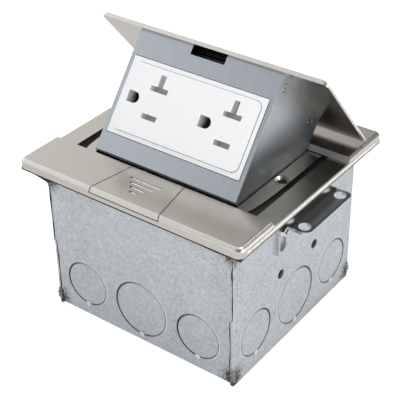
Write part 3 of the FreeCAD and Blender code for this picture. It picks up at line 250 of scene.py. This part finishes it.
def knockout_score():
    """The sheared edge of a knockout, with painted light: painted shade as a dark arc on one side of the circle,
    painted highlight as a bright arc on the other, and a painted highlight spot on the tie at its foot.

    `Along` is the place along the wall, `Up` the height; `Side` is 1 where the dark arc is to the right and -1
    where it is to the left."""
    name = "knockout_score"
    if name in bpy.data.node_groups:
        return bpy.data.node_groups[name]
    tree, source, target = new_group(name, [
        ("Along", "Float", 0.0), ("Up", "Float", 0.0), ("Centre", "Float", 0.0), ("Height", "Float", 0.019),
        ("Radius", "Float", 0.0112), ("Side", "Float", -1.0)], [("Dark", "Float"), ("Light", "Float")])
    across = math_node(tree, "SUBTRACT", source["Along"], source["Centre"])
    rise = math_node(tree, "SUBTRACT", source["Up"], source["Height"])
    reach = math_node(tree, "SQRT", math_node(
        tree, "ADD", math_node(tree, "MULTIPLY", across, across), math_node(tree, "MULTIPLY", rise, rise)))
    gap = math_node(tree, "SUBTRACT", reach, source["Radius"])
    lean = math_node(tree, "DIVIDE", math_node(
        tree, "MULTIPLY_ADD", across, source["Side"], math_node(tree, "MULTIPLY", rise, -0.45)), source["Radius"])
    # Painted shade: a dark line at the slit, strongest on one side of the circle.
    painted_shade_line = remap(tree, math_node(tree, "ABSOLUTE", math_node(tree, "ADD", gap, 0.00015)), 0.00068, 0.00022)
    # Painted highlight: a bright line just outside the slit, strongest on the other side.
    painted_highlight_line = remap(tree, math_node(tree, "ABSOLUTE", math_node(tree, "SUBTRACT", gap, 0.0004)), 0.0004, 0.0001)
    below = math_node(tree, "ADD", rise, source["Radius"])
    tie = math_node(tree, "SQRT", math_node(
        tree, "ADD", math_node(tree, "MULTIPLY", across, across), math_node(tree, "MULTIPLY", below, below)))
    off_tie = remap(tree, tie, 0.0013, 0.0017)
    arc = math_node(tree, "MULTIPLY", painted_shade_line, remap(tree, lean, -0.7, 0.6, 0.10, 1.0))
    rim = math_node(tree, "MULTIPLY", painted_highlight_line, remap(tree, lean, 0.1, -0.9, 0.15, 0.8))
    tree.links.new(math_node(tree, "MULTIPLY", arc, off_tie), target["Dark"])
    # The Dark output is painted shade; the Light output is painted highlight, with a painted highlight spot on the
    # tie.
    tree.links.new(math_node(tree, "MAXIMUM", math_node(tree, "MULTIPLY", rim, off_tie),
                             remap(tree, tie, 0.00145, 0.0011, 0.0, 0.75)), target["Light"])
    return tree


def scorch_spot():
    """Burnt zinc round a weld: distance from a centre, made ragged by noise."""
    name = "scorch_spot"
    if name in bpy.data.node_groups:
        return bpy.data.node_groups[name]
    tree, source, target = new_group(name, [
        ("Vector", "Vector", (0, 0, 0)), ("Centre", "Vector", (0, 0, 0)), ("Reach", "Float", 0.01)],
        [("Mask", "Float")])
    rag = place_node(tree, "ShaderNodeTexNoise", {
        "Vector": source["Vector"], "Scale": 380.0, "Detail": 4.0, "Roughness": 0.7})
    bent = place_node(tree, "ShaderNodeVectorMath", {
        0: rag.outputs["Color"], 1: (0.006, 0.006, 0.008), 2: source["Vector"]}, operation="MULTIPLY_ADD")
    shifted = place_node(tree, "ShaderNodeVectorMath", {0: bent.outputs[0], 1: (0.003, 0.003, 0.004)},
                         operation="SUBTRACT")
    gap = place_node(tree, "ShaderNodeVectorMath", {0: shifted.outputs[0], 1: source["Centre"]},
                     operation="DISTANCE")
    near = math_node(tree, "DIVIDE", gap.outputs["Value"], source["Reach"])
    fleck = place_node(tree, "ShaderNodeTexNoise", {"Vector": source["Vector"], "Scale": 1100.0, "Detail": 3.0})
    worn = math_node(tree, "MULTIPLY_ADD", fleck.outputs["Fac"], 1.6, near)
    tree.links.new(remap(tree, worn, 1.80, 1.20), target["Mask"])
    return tree


def use_group(tree, group, inputs):
    """Places a shader group and returns its outputs."""
    return place_node(tree, "ShaderNodeGroup", inputs, node_tree=group).outputs


def new_material(name, colour, metallic, roughness):
    """A material with a Principled shader; returns (material, node tree, shader)."""
    made = bpy.data.materials.new(name)
    made.use_nodes = True
    made.diffuse_color = (*colour, 1)
    shader = made.node_tree.nodes["Principled BSDF"]
    shader.inputs["Base Color"].default_value = (*colour, 1)
    shader.inputs["Metallic"].default_value = metallic
    shader.inputs["Roughness"].default_value = roughness
    return made, made.node_tree, shader


def object_coordinates(tree, turn=0.0):
    """Object coordinates, turned about X by `turn`."""
    place = place_node(tree, "ShaderNodeTexCoord").outputs["Object"]
    if not turn:
        return place
    return place_node(tree, "ShaderNodeMapping", {"Vector": place, "Rotation": (turn, 0, 0)}).outputs[0]


def bump(tree, shader, height, strength, distance):
    """Feeds a height to the shader's Normal."""
    made = place_node(tree, "ShaderNodeBump", {"Height": height, "Strength": strength, "Distance": distance})
    tree.links.new(made.outputs[0], shader.inputs["Normal"])


def brushed_metal(name, colour, roughness, stretch, turn=0.0, spread=0.07, shade=0.035, depth=0.00001):
    """Metal brushed along one axis: the grain changes its tone, gloss and height."""
    made, tree, shader = new_material(name, colour, 1.0, roughness)
    place = object_coordinates(tree, turn)
    grain = use_group(tree, brushed_grain(), {
        "Vector": place, "Stretch": stretch, "Roughness": roughness, "Spread": spread})
    dark = tuple(c * (1 - shade) for c in colour)
    light = tuple(min(1.0, c * (1 + shade)) for c in colour)
    tone = mix_colour(tree, grain["Mask"], (*dark, 1), (*light, 1))
    tree.links.new(tone, shader.inputs["Base Color"])
    tree.links.new(grain["Roughness"], shader.inputs["Roughness"])
    bump(tree, shader, grain["Height"], 0.12, depth)
    return made


def paint_bevel_highlight(material, pale):
    """Painted highlight: paler and softer on the slopes between the cover's top and its front and sides, and on the
    lid's front edge.
    """
    tree = material.node_tree
    shader = tree.nodes["Principled BSDF"]
    normal = place_node(tree, "ShaderNodeTexCoord").outputs["Normal"]
    facing = place_node(tree, "ShaderNodeSeparateXYZ", {0: normal}).outputs
    bevel_highlight_mask = math_node(tree, "MULTIPLY", remap(tree, facing[2], 0.12, 0.3), remap(tree, facing[2], 0.985, 0.93))
    bevel_highlight_mask = math_node(tree, "MULTIPLY", bevel_highlight_mask, remap(tree, facing[1], 0.5, 0.2))
    # Painted highlight: the slopes are mixed towards a pale colour.
    plain = shader.inputs["Base Color"].links[0].from_socket
    tree.links.new(mix_colour(tree, bevel_highlight_mask, plain, (*pale, 1)), shader.inputs["Base Color"])
    gloss = shader.inputs["Roughness"].links[0].from_socket
    tree.links.new(math_node(tree, "MULTIPLY_ADD", bevel_highlight_mask, 0.22, gloss), shader.inputs["Roughness"])


def galvanised(name, finish, scorched):
    """Galvanised steel with burnt spots at the given (centre, reach) places, sheared circles edged with painted shade
    and painted highlight, and painted shade darkening its inside.
    """
    made, tree, shader = new_material(name, finish.zinc_light, 0.75, 0.45)
    place = object_coordinates(tree)
    zinc = use_group(tree, zinc_spangle(), {
        "Vector": place, "Light": (*finish.zinc_light, 1), "Dark": (*finish.zinc_dark, 1),
        "Pits": 0.8, "Cracks": 0.5})
    axes = place_node(tree, "ShaderNodeSeparateXYZ", {0: place}).outputs
    wide, deep = (math_node(tree, "ABSOLUTE", axes[i]) for i in (0, 1))
    on_side = math_node(tree, "GREATER_THAN", wide, HALF_WIDTH - SKIN)
    on_wall = math_node(tree, "MAXIMUM", on_side, math_node(tree, "GREATER_THAN", deep, HALF_DEPTH - SKIN))
    along = place_node(tree, "ShaderNodeMix", {0: on_side, 2: axes[0], 3: axes[1]}).outputs[0]
    side = remap(tree, on_side, 0.0, 1.0, -1.0, 1.0)
    painted_knockout_light = [use_group(tree, knockout_score(), {
        "Along": along, "Up": axes[2], "Centre": centre, "Radius": radius, "Side": side})
        for centre, radius in KNOCKOUTS]
    # dark is the painted shade and light is the painted highlight at the knockout circles on the walls.
    dark, light = (math_node(tree, "MULTIPLY", on_wall, math_node(
        tree, "MAXIMUM", painted_knockout_light[0][key], math_node(tree, "MAXIMUM", painted_knockout_light[1][key], painted_knockout_light[2][key])))
        for key in ("Dark", "Light"))
    # Painted highlight, then painted shade, mixed into the zinc at the knockouts.
    colour = mix_colour(tree, light, zinc["Color"], (0.86, 0.88, 0.90, 1))
    colour = mix_colour(tree, dark, colour, (0.03, 0.03, 0.032, 1))
    run = place_node(tree, "ShaderNodeTexNoise", {"Vector": place, "Scale": 120.0, "Detail": 4.0, "Roughness": 0.6})
    foot = math_node(tree, "MULTIPLY", remap(tree, axes[2], 0.0075, 0.001), math_node(
        tree, "MULTIPLY", on_side, remap(tree, run.outputs["Fac"], 0.50, 0.56)))
    colour = mix_colour(tree, math_node(tree, "MULTIPLY", foot, 0.75), colour, (0.50, 0.47, 0.43, 1))
    for centre, reach in scorched:
        spot = use_group(tree, scorch_spot(), {"Vector": place, "Centre": centre, "Reach": reach})
        colour = mix_colour(tree, spot["Mask"], colour, (*finish.scorch, 1))
    # Painted shade: the inside of the box is mixed towards near black.
    inside = math_node(tree, "MULTIPLY", math_node(tree, "LESS_THAN", wide, HALF_WIDTH - INSIDE),
                       math_node(tree, "LESS_THAN", deep, HALF_DEPTH - INSIDE))
    inside_painted_shade = math_node(tree, "MULTIPLY", inside, math_node(tree, "GREATER_THAN", axes[2], INSIDE))
    colour = mix_colour(tree, math_node(tree, "MULTIPLY", inside_painted_shade, 0.8), colour, (0.02, 0.02, 0.022, 1))
    tree.links.new(colour, shader.inputs["Base Color"])
    tree.links.new(zinc["Roughness"], shader.inputs["Roughness"])
    bump(tree, shader, zinc["Height"], 0.45, 0.00008)
    return made


def moulded(name, colour, roughness, speck=0.00002):
    """Moulded plastic or rubber with a very fine texture."""
    made, tree, shader = new_material(name, colour, 0.0, roughness)
    noise = place_node(tree, "ShaderNodeTexNoise", {
        "Vector": object_coordinates(tree), "Scale": 2600.0, "Detail": 2.0})
    tree.links.new(remap(tree, noise.outputs["Fac"], 0.3, 0.7, roughness * 0.9, roughness * 1.1),
                   shader.inputs["Roughness"])
    bump(tree, shader, noise.outputs["Fac"], 0.15, speck)
    return made


def plain_metal(name, colour, roughness, metallic=1.0):
    """Plated metal with a faint cloudy change of gloss."""
    made, tree, shader = new_material(name, colour, metallic, roughness)
    noise = place_node(tree, "ShaderNodeTexNoise", {
        "Vector": object_coordinates(tree), "Scale": 500.0, "Detail": 3.0})
    tree.links.new(remap(tree, noise.outputs["Fac"], 0.3, 0.7, roughness * 0.8, roughness * 1.25),
                   shader.inputs["Roughness"])
    return made


def paint(material, *names):
    """Gives the material to each named piece."""
    for name in names:
        slots = NODES[name].data.materials
        slots.clear()
        slots.append(material)


# ---------------------------------------------------------------- surface helpers

def closed_sweep(name, rings, material, body, loop=False):
    """A closed surface through rings of points (rings, points, 3): its ends meet in a loop, or each has a pole."""
    count, around, _ = rings.shape
    points = rings.reshape(-1, 3)
    row = np.arange(around)
    step = (row + 1) % around
    start = np.arange(count if loop else count - 1)[:, None] * around
    after = (start + around) % (count * around)
    faces = np.stack([start + row, start + step, after + step, after + row], -1).reshape(-1, 4).tolist()
    if not loop:
        points = np.concatenate([points, rings[0].mean(0)[None], rings[-1].mean(0)[None]])
        last = (count - 1) * around
        faces += np.stack([np.full(around, count * around), step, row], -1).tolist()
        faces += np.stack([np.full(around, count * around + 1), last + row, last + step], -1).tolist()
    mesh = bpy.data.meshes.new(name)
    mesh.from_pydata(points.tolist(), [], faces)
    mesh.materials.append(material)
    mesh.validate()
    mesh.polygons.foreach_set("use_smooth", np.ones(len(mesh.polygons), bool))
    mesh.update()
    made = bpy.data.objects.new(name, mesh)
    bpy.context.scene.collection.objects.link(made)
    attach(made, body)
    return made


def weld_bead(start, end, radius, generator):
    """A lumpy spindle from start to end: its radius is a half sine along its length times a sum of sines."""
    start, end = np.array(start, float), np.array(end, float)
    along, round_count = 22, 14
    t = np.linspace(0.02, 0.98, along)[:, None]
    angle = np.linspace(0, 2 * np.pi, round_count, endpoint=False)[None, :]
    phase = generator.uniform(0, 2 * np.pi, 6)
    lumps = (1 + 0.28 * np.sin(9 * t * np.pi + phase[0] + angle) + 0.18 * np.sin(17 * t * np.pi + phase[1])
             + 0.15 * np.sin(3 * angle + phase[2] + 6 * t))
    reach = radius * np.sin(np.pi * t) ** 0.6 * lumps
    direction = (end - start) / np.linalg.norm(end - start)
    side = np.cross(direction, (0.0, 0.0, 1.0) if abs(direction[2]) < 0.9 else (1.0, 0.0, 0.0))
    side /= np.linalg.norm(side)
    other = np.cross(direction, side)
    centre = start + t * (end - start)
    return (centre[:, None, :] + (reach * np.cos(angle))[..., None] * side
            + (reach * np.sin(angle))[..., None] * other)


def rod(path, across, out, widths, around=12):
    """An oval rod along a path of points: a cosine of its first radius across and a sine of its second outwards.

    The angle runs the way that turns the faces outwards: the way from across to out, seen against the path."""
    path = np.asarray(path, float)
    across, out = (np.broadcast_to(np.asarray(item, float), path.shape) for item in (across, out))
    handed = np.sign(np.sum(np.cross(across, out) * np.gradient(path, axis=0)))
    angle = handed * np.linspace(0, 2 * np.pi, around, endpoint=False)
    first, second = (np.broadcast_to(np.asarray(width, float), len(path))[:, None] for width in widths)
    return (path[:, None, :] + (first * np.cos(angle))[..., None] * across[:, None, :]
            + (second * np.sin(angle))[..., None] * out[:, None, :])


def on_face(across, up, out):
    """Places on the leaning housing's front, measured across it, up it from its foot and out of it."""
    across, up, out = np.broadcast_arrays(across, up, out)
    return np.stack([across, HOUSING_FOOT.y + up * math.sin(LEAN) - out * math.cos(LEAN),
                     HOUSING_FOOT.z + up * math.cos(LEAN) + out * math.sin(LEAN)], -1)


def rounded_rectangle(half_width, half_height, corner, steps=10):
    """(across, up) places round a rectangle: four quarter circles, each with its centre in from one corner."""
    turn = np.linspace(0, np.pi / 2, steps)[None, :] + (np.arange(4) * np.pi / 2)[:, None]
    centre_x = np.array([1, -1, -1, 1])[:, None] * (half_width - corner)
    centre_y = np.array([1, 1, -1, -1])[:, None] * (half_height - corner)
    return (centre_x + corner * np.cos(turn)).ravel(), (centre_y + corner * np.sin(turn)).ravel()


# ---------------------------------------------------------------- operators

class FLOORBOX_OT_back_box(bpy.types.Operator):
    """Galvanised finish of the back box, its knockouts and its brackets"""
    bl_idname = "floorbox.back_box"
    bl_label = "Back Box"

    def execute(self, context):
        finish = context.scene.floorbox_finish
        reach = context.scene.floorbox_details.scorch_reach
        scorched = [((x, y, z), reach) for x in (-HALF_WIDTH, HALF_WIDTH) for y in (-HALF_DEPTH, HALF_DEPTH)
                    for z in (0.004, BOX_TOP - 0.006)]
        zinc = galvanised("galvanised_zinc", finish, scorched)
        paint(zinc, "box_shell", "box_side_right", "box_side_left", "knockouts_small", "knockouts_large")
        plate = brushed_metal("plated_bracket", finish.plate, 0.24, (900, 120, 900), shade=0.06)
        paint(plate, "mounting_bracket_right", "mounting_bracket_left")
        paint(plain_metal("green_ground_screw", finish.green, 0.35, 0.6), "ground_screw")
        return {"FINISHED"}


class FLOORBOX_OT_cover(bpy.types.Operator):
    """Brushed nickel of the cover, its strips and its gaskets"""
    bl_idname = "floorbox.cover"
    bl_label = "Cover"

    def execute(self, context):
        finish = context.scene.floorbox_finish
        nickel = brushed_metal("brushed_nickel", finish.nickel, finish.nickel_roughness, (45, 6200, 6200))
        # Painted highlight on the slopes of the cover and the lid.
        paint_bevel_highlight(nickel, finish.bevel_highlight)
        paint(nickel, "cover_flange", "pocket_strip_right", "pocket_strip_left", "release_button", "lid")
        rubber = moulded("gasket_rubber", finish.rubber, 0.7)
        paint(rubber, "floor_gasket", "moat_gaskets")
        return {"FINISHED"}


class FLOORBOX_OT_housing(bpy.types.Operator):
    """Upright brushed steel of the pop-up housing"""
    bl_idname = "floorbox.housing"
    bl_label = "Housing"

    def execute(self, context):
        finish = context.scene.floorbox_finish
        steel = brushed_metal("brushed_housing_steel", finish.housing, finish.housing_roughness,
                              (3600, 3600, 70), turn=LEAN, spread=0.14, shade=0.07, depth=0.00001)
        paint(steel, "housing_front", "housing_side_right", "housing_side_left", "housing_back")
        return {"FINISHED"}


class FLOORBOX_OT_receptacle(bpy.types.Operator):
    """Plastic and brass of the duplex receptacle"""
    bl_idname = "floorbox.receptacle"
    bl_label = "Receptacle"

    def execute(self, context):
        finish = context.scene.floorbox_finish
        paint(moulded("white_thermoplastic", finish.white, 0.32), "receptacle_face", "receptacle_body")
        paint(moulded("grey_shutter_plastic", finish.shutter, 0.45), "shutter_left", "shutter_right")
        paint(plain_metal("contact_brass", finish.brass, 0.3), "hot_contacts", "neutral_contacts",
              "hot_terminal_screws")
        paint(plain_metal("tinned_ground_clip", (0.42, 0.39, 0.35), 0.4), "ground_contacts")
        return {"FINISHED"}


class FLOORBOX_OT_small_parts(bpy.types.Operator):
    """Plated screws, pins, springs and latch pieces"""
    bl_idname = "floorbox.small_parts"
    bl_label = "Small Parts"

    def execute(self, context):
        finish = context.scene.floorbox_finish
        bright = plain_metal("bright_screw_plating", (0.72, 0.71, 0.69), 0.18)
        paint(plain_metal("dark_screw_plating", (0.10, 0.095, 0.09), 0.35), "strip_screws")
        paint(bright, "bracket_screws", "cover_screws", "pivot_pins", "stop_pins", "lid_screws",
              "housing_side_screws", "strap_nuts", "neutral_terminal_screws", "button_screw")
        plated = plain_metal("plated_sheet", finish.plate, 0.30)
        paint(plated, "carrier_frame", "latch_guide", "latch_bolt", "lid_channel", "receptacle_strap")
        paint(plain_metal("spring_wire", (0.42, 0.42, 0.43), 0.28), "button_springs", "torsion_springs")
        paint(moulded("black_latch_plastic", finish.black, 0.5), "latch_carriage", "latch_keeper", "cord_bushings")
        return {"FINISHED"}


class FLOORBOX_OT_corner_welds(bpy.types.Operator):
    """Lumpy weld beads at the corners of the back box"""
    bl_idname = "floorbox.corner_welds"
    bl_label = "Corner Welds"

    def execute(self, context):
        details = context.scene.floorbox_details
        generator = np.random.default_rng(details.seed)
        weld = plain_metal("dark_weld_metal", (0.30, 0.29, 0.28), 0.32, 0.9)
        sunk = 0.0005                       # how far the beads lie in the corner
        for corner, x, y in (("right_front", 1, -1), ("left_front", -1, -1), ("right_back", 1, 1),
                             ("left_back", -1, 1)):
            foot = np.array((x * (HALF_WIDTH - sunk), y * (HALF_DEPTH - sunk), 0.0))
            for end, low in (("foot", 0.0012), ("top", BOX_TOP - 0.0125)):
                bead = weld_bead(foot + (0, 0, low), foot + (0, 0, low + details.bead_length), details.bead_radius,
                                 generator)
                closed_sweep("weld_%s_%s" % (corner, end), bead, weld, "base")
        return {"FINISHED"}


class FLOORBOX_OT_corner_seams(bpy.types.Operator):
    """Dark open seams beside the front corners, with a jog half way up"""
    bl_idname = "floorbox.corner_seams"
    bl_label = "Corner Seams"

    def execute(self, context):
        details = context.scene.floorbox_details
        dark = moulded("seam_shadow", (0.02, 0.019, 0.018), 0.8)
        bright = plain_metal("sheared_edge", (0.80, 0.80, 0.79), 0.25)
        generator = np.random.default_rng(details.seed + 1)
        height = np.linspace(0.002, BOX_TOP - 0.003, 90)
        wall = np.full_like(height, -HALF_DEPTH - 0.00004)
        torn = height > 0.058               # the seam is wider near its top
        for side, sign in (("right", 1), ("left", -1)):
            phase = generator.uniform(0, 2 * np.pi, 3)
            sway = 0.00007 * np.sin(260 * height + phase[0]) + 0.00004 * np.sin(900 * height + phase[1])
            jog = details.seam_jog / (1 + np.exp(-(height - details.jog_height) / 0.00018))
            offset = sign * (HALF_WIDTH - details.seam_inset + sway + jog)
            thick = details.seam_width * (1 + 0.45 * np.sin(420 * height + phase[2])) * (1 + 0.5 * torn)
            for name, place, widths, material in (
                    ("seam_%s" % side, offset, (thick, 0.00012), dark),
                    ("sheared_edge_%s" % side, offset + sign * 0.00042, (0.00016, 0.00010), bright)):
                path = np.stack([place, wall, height], 1)
                closed_sweep(name, rod(path, (1, 0, 0), (0, -1, 0), widths), material, "base")
        return {"FINISHED"}


class FLOORBOX_OT_gasket_droop(bpy.types.Operator):
    """Wedges of the floor gasket that hang below the cover's front edge"""
    bl_idname = "floorbox.gasket_droop"
    bl_label = "Gasket Droop"

    def execute(self, context):
        rubber = bpy.data.materials["gasket_rubber"]
        low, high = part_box("floor_gasket")
        along = np.linspace(0.0, 1.0, 40)
        for name, start, length, depth, peak in (("gasket_droop", low.x + 0.0006, 0.0155, 0.0013, 0.9),
                                                 ("gasket_sag", 0.012, high.x - 0.015, 0.0006, 0.8)):
            place = np.stack([start + length * along, np.full_like(along, low.y + 0.0010),
                              np.full_like(along, low.z + 0.0002)], 1)
            sag = 0.00025 + depth * np.clip(along / peak, 0, 1) ** 1.6 * np.clip((1 - along) / (1 - peak), 0, 1)
            place[:, 2] -= sag * 0.55
            closed_sweep(name, rod(place, (0, 1, 0), (0, 0, -1), (0.0006, sag)), rubber, "base")
        return {"FINISHED"}


class FLOORBOX_OT_button_groove_highlights(bpy.types.Operator):
    """Painted highlights: bright lines that lie in the grooves of the release button"""
    bl_idname = "floorbox.button_lines"
    bl_label = "Button Groove Highlights"

    def execute(self, context):
        widths = (context.scene.floorbox_details.groove_highlight_radius, 0.00022)
        back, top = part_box("release_button")[1].yz
        # Painted highlight: whitish rods stand for the light caught by the grooves' edges.
        bright = plain_metal("painted_groove_highlight", (0.95, 0.94, 0.92), 0.30, 0.2)
        for index, (reach, ahead) in enumerate(BUTTON_GROOVES):
            across = np.linspace(-reach, reach - 0.0012, 16)
            path = np.stack([across, np.full_like(across, back - ahead), np.full_like(across, top - 0.00028)], 1)
            closed_sweep("button_line_%d" % index, rod(path, (0, 1, 0), (0, 0, 1), widths), bright,
                         "release_button")
        return {"FINISHED"}


class FLOORBOX_OT_face_lines(bpy.types.Operator):
    """Fine shadow lines round the raised field and the rim of the receptacle"""
    bl_idname = "floorbox.face_lines"
    bl_label = "Face Lines"

    def execute(self, context):
        radius = context.scene.floorbox_details.groove_radius
        grey = moulded("face_line", (0.13, 0.13, 0.135), 0.6)
        outward = np.array((0.0, -math.cos(LEAN), math.sin(LEAN)))
        for name, half_width, half_height, corner, out in FACE_LOOPS:
            across, up = rounded_rectangle(half_width, half_height, corner)
            path = on_face(across, FIELD_MIDDLE + up, out)
            along = np.roll(path, -1, 0) - np.roll(path, 1, 0)
            along /= np.linalg.norm(along, axis=1, keepdims=True)
            rings = rod(path, np.cross(along, outward), outward, (radius, radius))
            closed_sweep(name, rings, grey, "popup", loop=True)
        return {"FINISHED"}


class FLOORBOX_OT_painted_edge_highlights(bpy.types.Operator):
    """Painted highlights: bright rods along the side edges of the cover and the lid"""
    bl_idname = "floorbox.burnished_edges"
    bl_label = "Painted Edge Highlights"

    def execute(self, context):
        # Painted highlight: pale rods along the side edges of the cover and the lid.
        bright = plain_metal("painted_edge_highlight", (0.92, 0.91, 0.88), 0.28, 0.35)
        low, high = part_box("cover_flange")
        lid_low, lid_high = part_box("lid")
        rail = np.linspace(low.y + 0.004, high.y - 0.004, 40)
        down = LID_LENGTH * np.linspace(0.03, 0.985, 30)
        lid_y = lid_low.y + 0.00155 + down * math.cos(OPEN_ANGLE)
        lid_z = lid_high.z - 0.00127 - down * math.sin(OPEN_ANGLE)
        lid_up = (0, math.sin(OPEN_ANGLE), math.cos(OPEN_ANGLE))
        for side, sign in (("right", 1), ("left", -1)):
            path = np.stack([np.full_like(rail, sign * (high.x - 0.00022)), rail, np.full_like(rail, RAIL_HEIGHT)], 1)
            closed_sweep("cover_edge_%s" % side, rod(path, (1, 0, 0), (0, 0, 1), (0.0003, 0.0007)), bright,
                         "base")
            path = np.stack([np.full_like(down, sign * (high.x - 0.0001)), lid_y, lid_z], 1)
            closed_sweep("lid_edge_%s" % side, rod(path, (1, 0, 0), lid_up, (0.0002, 0.0003)), bright,
                         "popup")
        return {"FINISHED"}


class FLOORBOX_OT_studio(bpy.types.Operator):
    """Pale floor, soft lights and the camera"""
    bl_idname = "floorbox.studio"
    bl_label = "Studio"

    def execute(self, context):
        studio = context.scene.floorbox_studio
        self.floor()
        self.lights(studio)
        self.world(studio)
        self.camera(context, studio)
        context.scene.view_settings.view_transform = "Standard"
        return {"FINISHED"}

    def floor(self):
        mesh = bpy.data.meshes.new("floor")
        reach = 3.0
        mesh.from_pydata([(-reach, -reach, 0), (reach, -reach, 0), (reach, reach, 0), (-reach, reach, 0)],
                         [], [(0, 1, 2, 3)])
        material, tree, shader = new_material("pale_floor", (0.92, 0.92, 0.92), 0.0, 0.9)
        shader.inputs["Emission Color"].default_value = (1, 1, 1, 1)
        seen = place_node(tree, "ShaderNodeLightPath").outputs["Is Camera Ray"]
        tree.links.new(math_node(tree, "MULTIPLY", seen, 0.6), shader.inputs["Emission Strength"])
        mesh.materials.append(material)
        floor = bpy.data.objects.new("floor", mesh)
        floor.location.z = -0.0002
        bpy.context.scene.collection.objects.link(floor)

    def lights(self, studio):
        """The front lamp isn't mirrored in the metal; it only lifts the dull pieces."""
        for name, power, place, width in (
                ("key", studio.key, (0.10, 0.30, 1.05), 0.5),
                ("side", studio.side, (1.0, 0.12, 0.25), 0.6),
                ("front", studio.front, (0.22, -0.90, 0.78), 0.6)):
            light = bpy.data.lights.new(name, "AREA")
            light.energy = power
            light.size = width
            lamp = bpy.data.objects.new(name, light)
            lamp.location = place
            lamp.visible_glossy = name != "front"
            aim = LAMP_TARGET - lamp.location
            lamp.rotation_euler = aim.to_track_quat("-Z", "Y").to_euler()
            bpy.context.scene.collection.objects.link(lamp)

    def world(self, studio):
        world = bpy.data.worlds.new("studio")
        bpy.context.scene.world = world
        world.use_nodes = True
        tree = world.node_tree
        back = tree.nodes["Background"]
        seen = place_node(tree, "ShaderNodeBackground", {"Color": (1, 1, 1, 1), "Strength": 1.0})
        back.inputs["Strength"].default_value = studio.world
        direction = place_node(tree, "ShaderNodeTexCoord").outputs["Generated"]
        facing = place_node(tree, "ShaderNodeSeparateXYZ", {0: direction}).outputs[0]
        tree.links.new(remap(tree, facing, -0.64, -0.12, 1.0, studio.shade), back.inputs["Color"])
        path = place_node(tree, "ShaderNodeLightPath")
        mixed = place_node(tree, "ShaderNodeMixShader", {
            0: path.outputs["Is Camera Ray"], 1: back.outputs[0], 2: seen.outputs[0]})
        tree.links.new(mixed.outputs[0], tree.nodes["World Output"].inputs[0])

    def camera(self, context, studio):
        data = bpy.data.cameras.new("camera")
        data.lens = studio.lens
        data.sensor_width = 36.0
        data.shift_x = -0.075
        data.shift_y = -0.075
        data.clip_start = 0.01
        camera = bpy.data.objects.new("camera", data)
        back = Vector((math.sin(studio.azimuth) * math.cos(studio.elevation),
                       -math.cos(studio.azimuth) * math.cos(studio.elevation), math.sin(studio.elevation)))
        camera.location = CAMERA_TARGET + back * studio.distance
        camera.rotation_euler = (-back).to_track_quat("-Z", "Y").to_euler()
        context.scene.collection.objects.link(camera)
        context.scene.camera = camera


OPERATORS = (FLOORBOX_OT_back_box, FLOORBOX_OT_cover, FLOORBOX_OT_housing, FLOORBOX_OT_receptacle,
             FLOORBOX_OT_small_parts, FLOORBOX_OT_corner_welds, FLOORBOX_OT_corner_seams,
             FLOORBOX_OT_gasket_droop, FLOORBOX_OT_button_groove_highlights, FLOORBOX_OT_face_lines,
             FLOORBOX_OT_painted_edge_highlights, FLOORBOX_OT_studio)


class FLOORBOX_PT_panel(bpy.types.Panel):
    """Lists the settings and the operators"""
    bl_idname = "FLOORBOX_PT_panel"
    bl_label = "Floor Box"
    bl_space_type = "VIEW_3D"
    bl_region_type = "UI"
    bl_category = "Floor Box"

    def draw(self, context):
        layout = self.layout
        for group in (context.scene.floorbox_finish, context.scene.floorbox_details, context.scene.floorbox_studio):
            box = layout.box()
            for key in group.__annotations__:
                box.prop(group, key)
        for operator in OPERATORS:
            layout.operator(operator.bl_idname)


CLASSES = (FloorBoxFinish, FloorBoxDetails, FloorBoxStudio) + OPERATORS + (FLOORBOX_PT_panel,)


def register():
    for item in CLASSES:
        bpy.utils.register_class(item)
    bpy.types.Scene.floorbox_finish = PointerProperty(type=FloorBoxFinish)
    bpy.types.Scene.floorbox_details = PointerProperty(type=FloorBoxDetails)
    bpy.types.Scene.floorbox_studio = PointerProperty(type=FloorBoxStudio)


def unregister():
    del bpy.types.Scene.floorbox_studio
    del bpy.types.Scene.floorbox_details
    del bpy.types.Scene.floorbox_finish
    for item in reversed(CLASSES):
        bpy.utils.unregister_class(item)


def main():
    register()
    for operator in OPERATORS:
        group, name = operator.bl_idname.split(".")
        getattr(getattr(bpy.ops, group), name)()


if __name__ == "__main__":
    main()
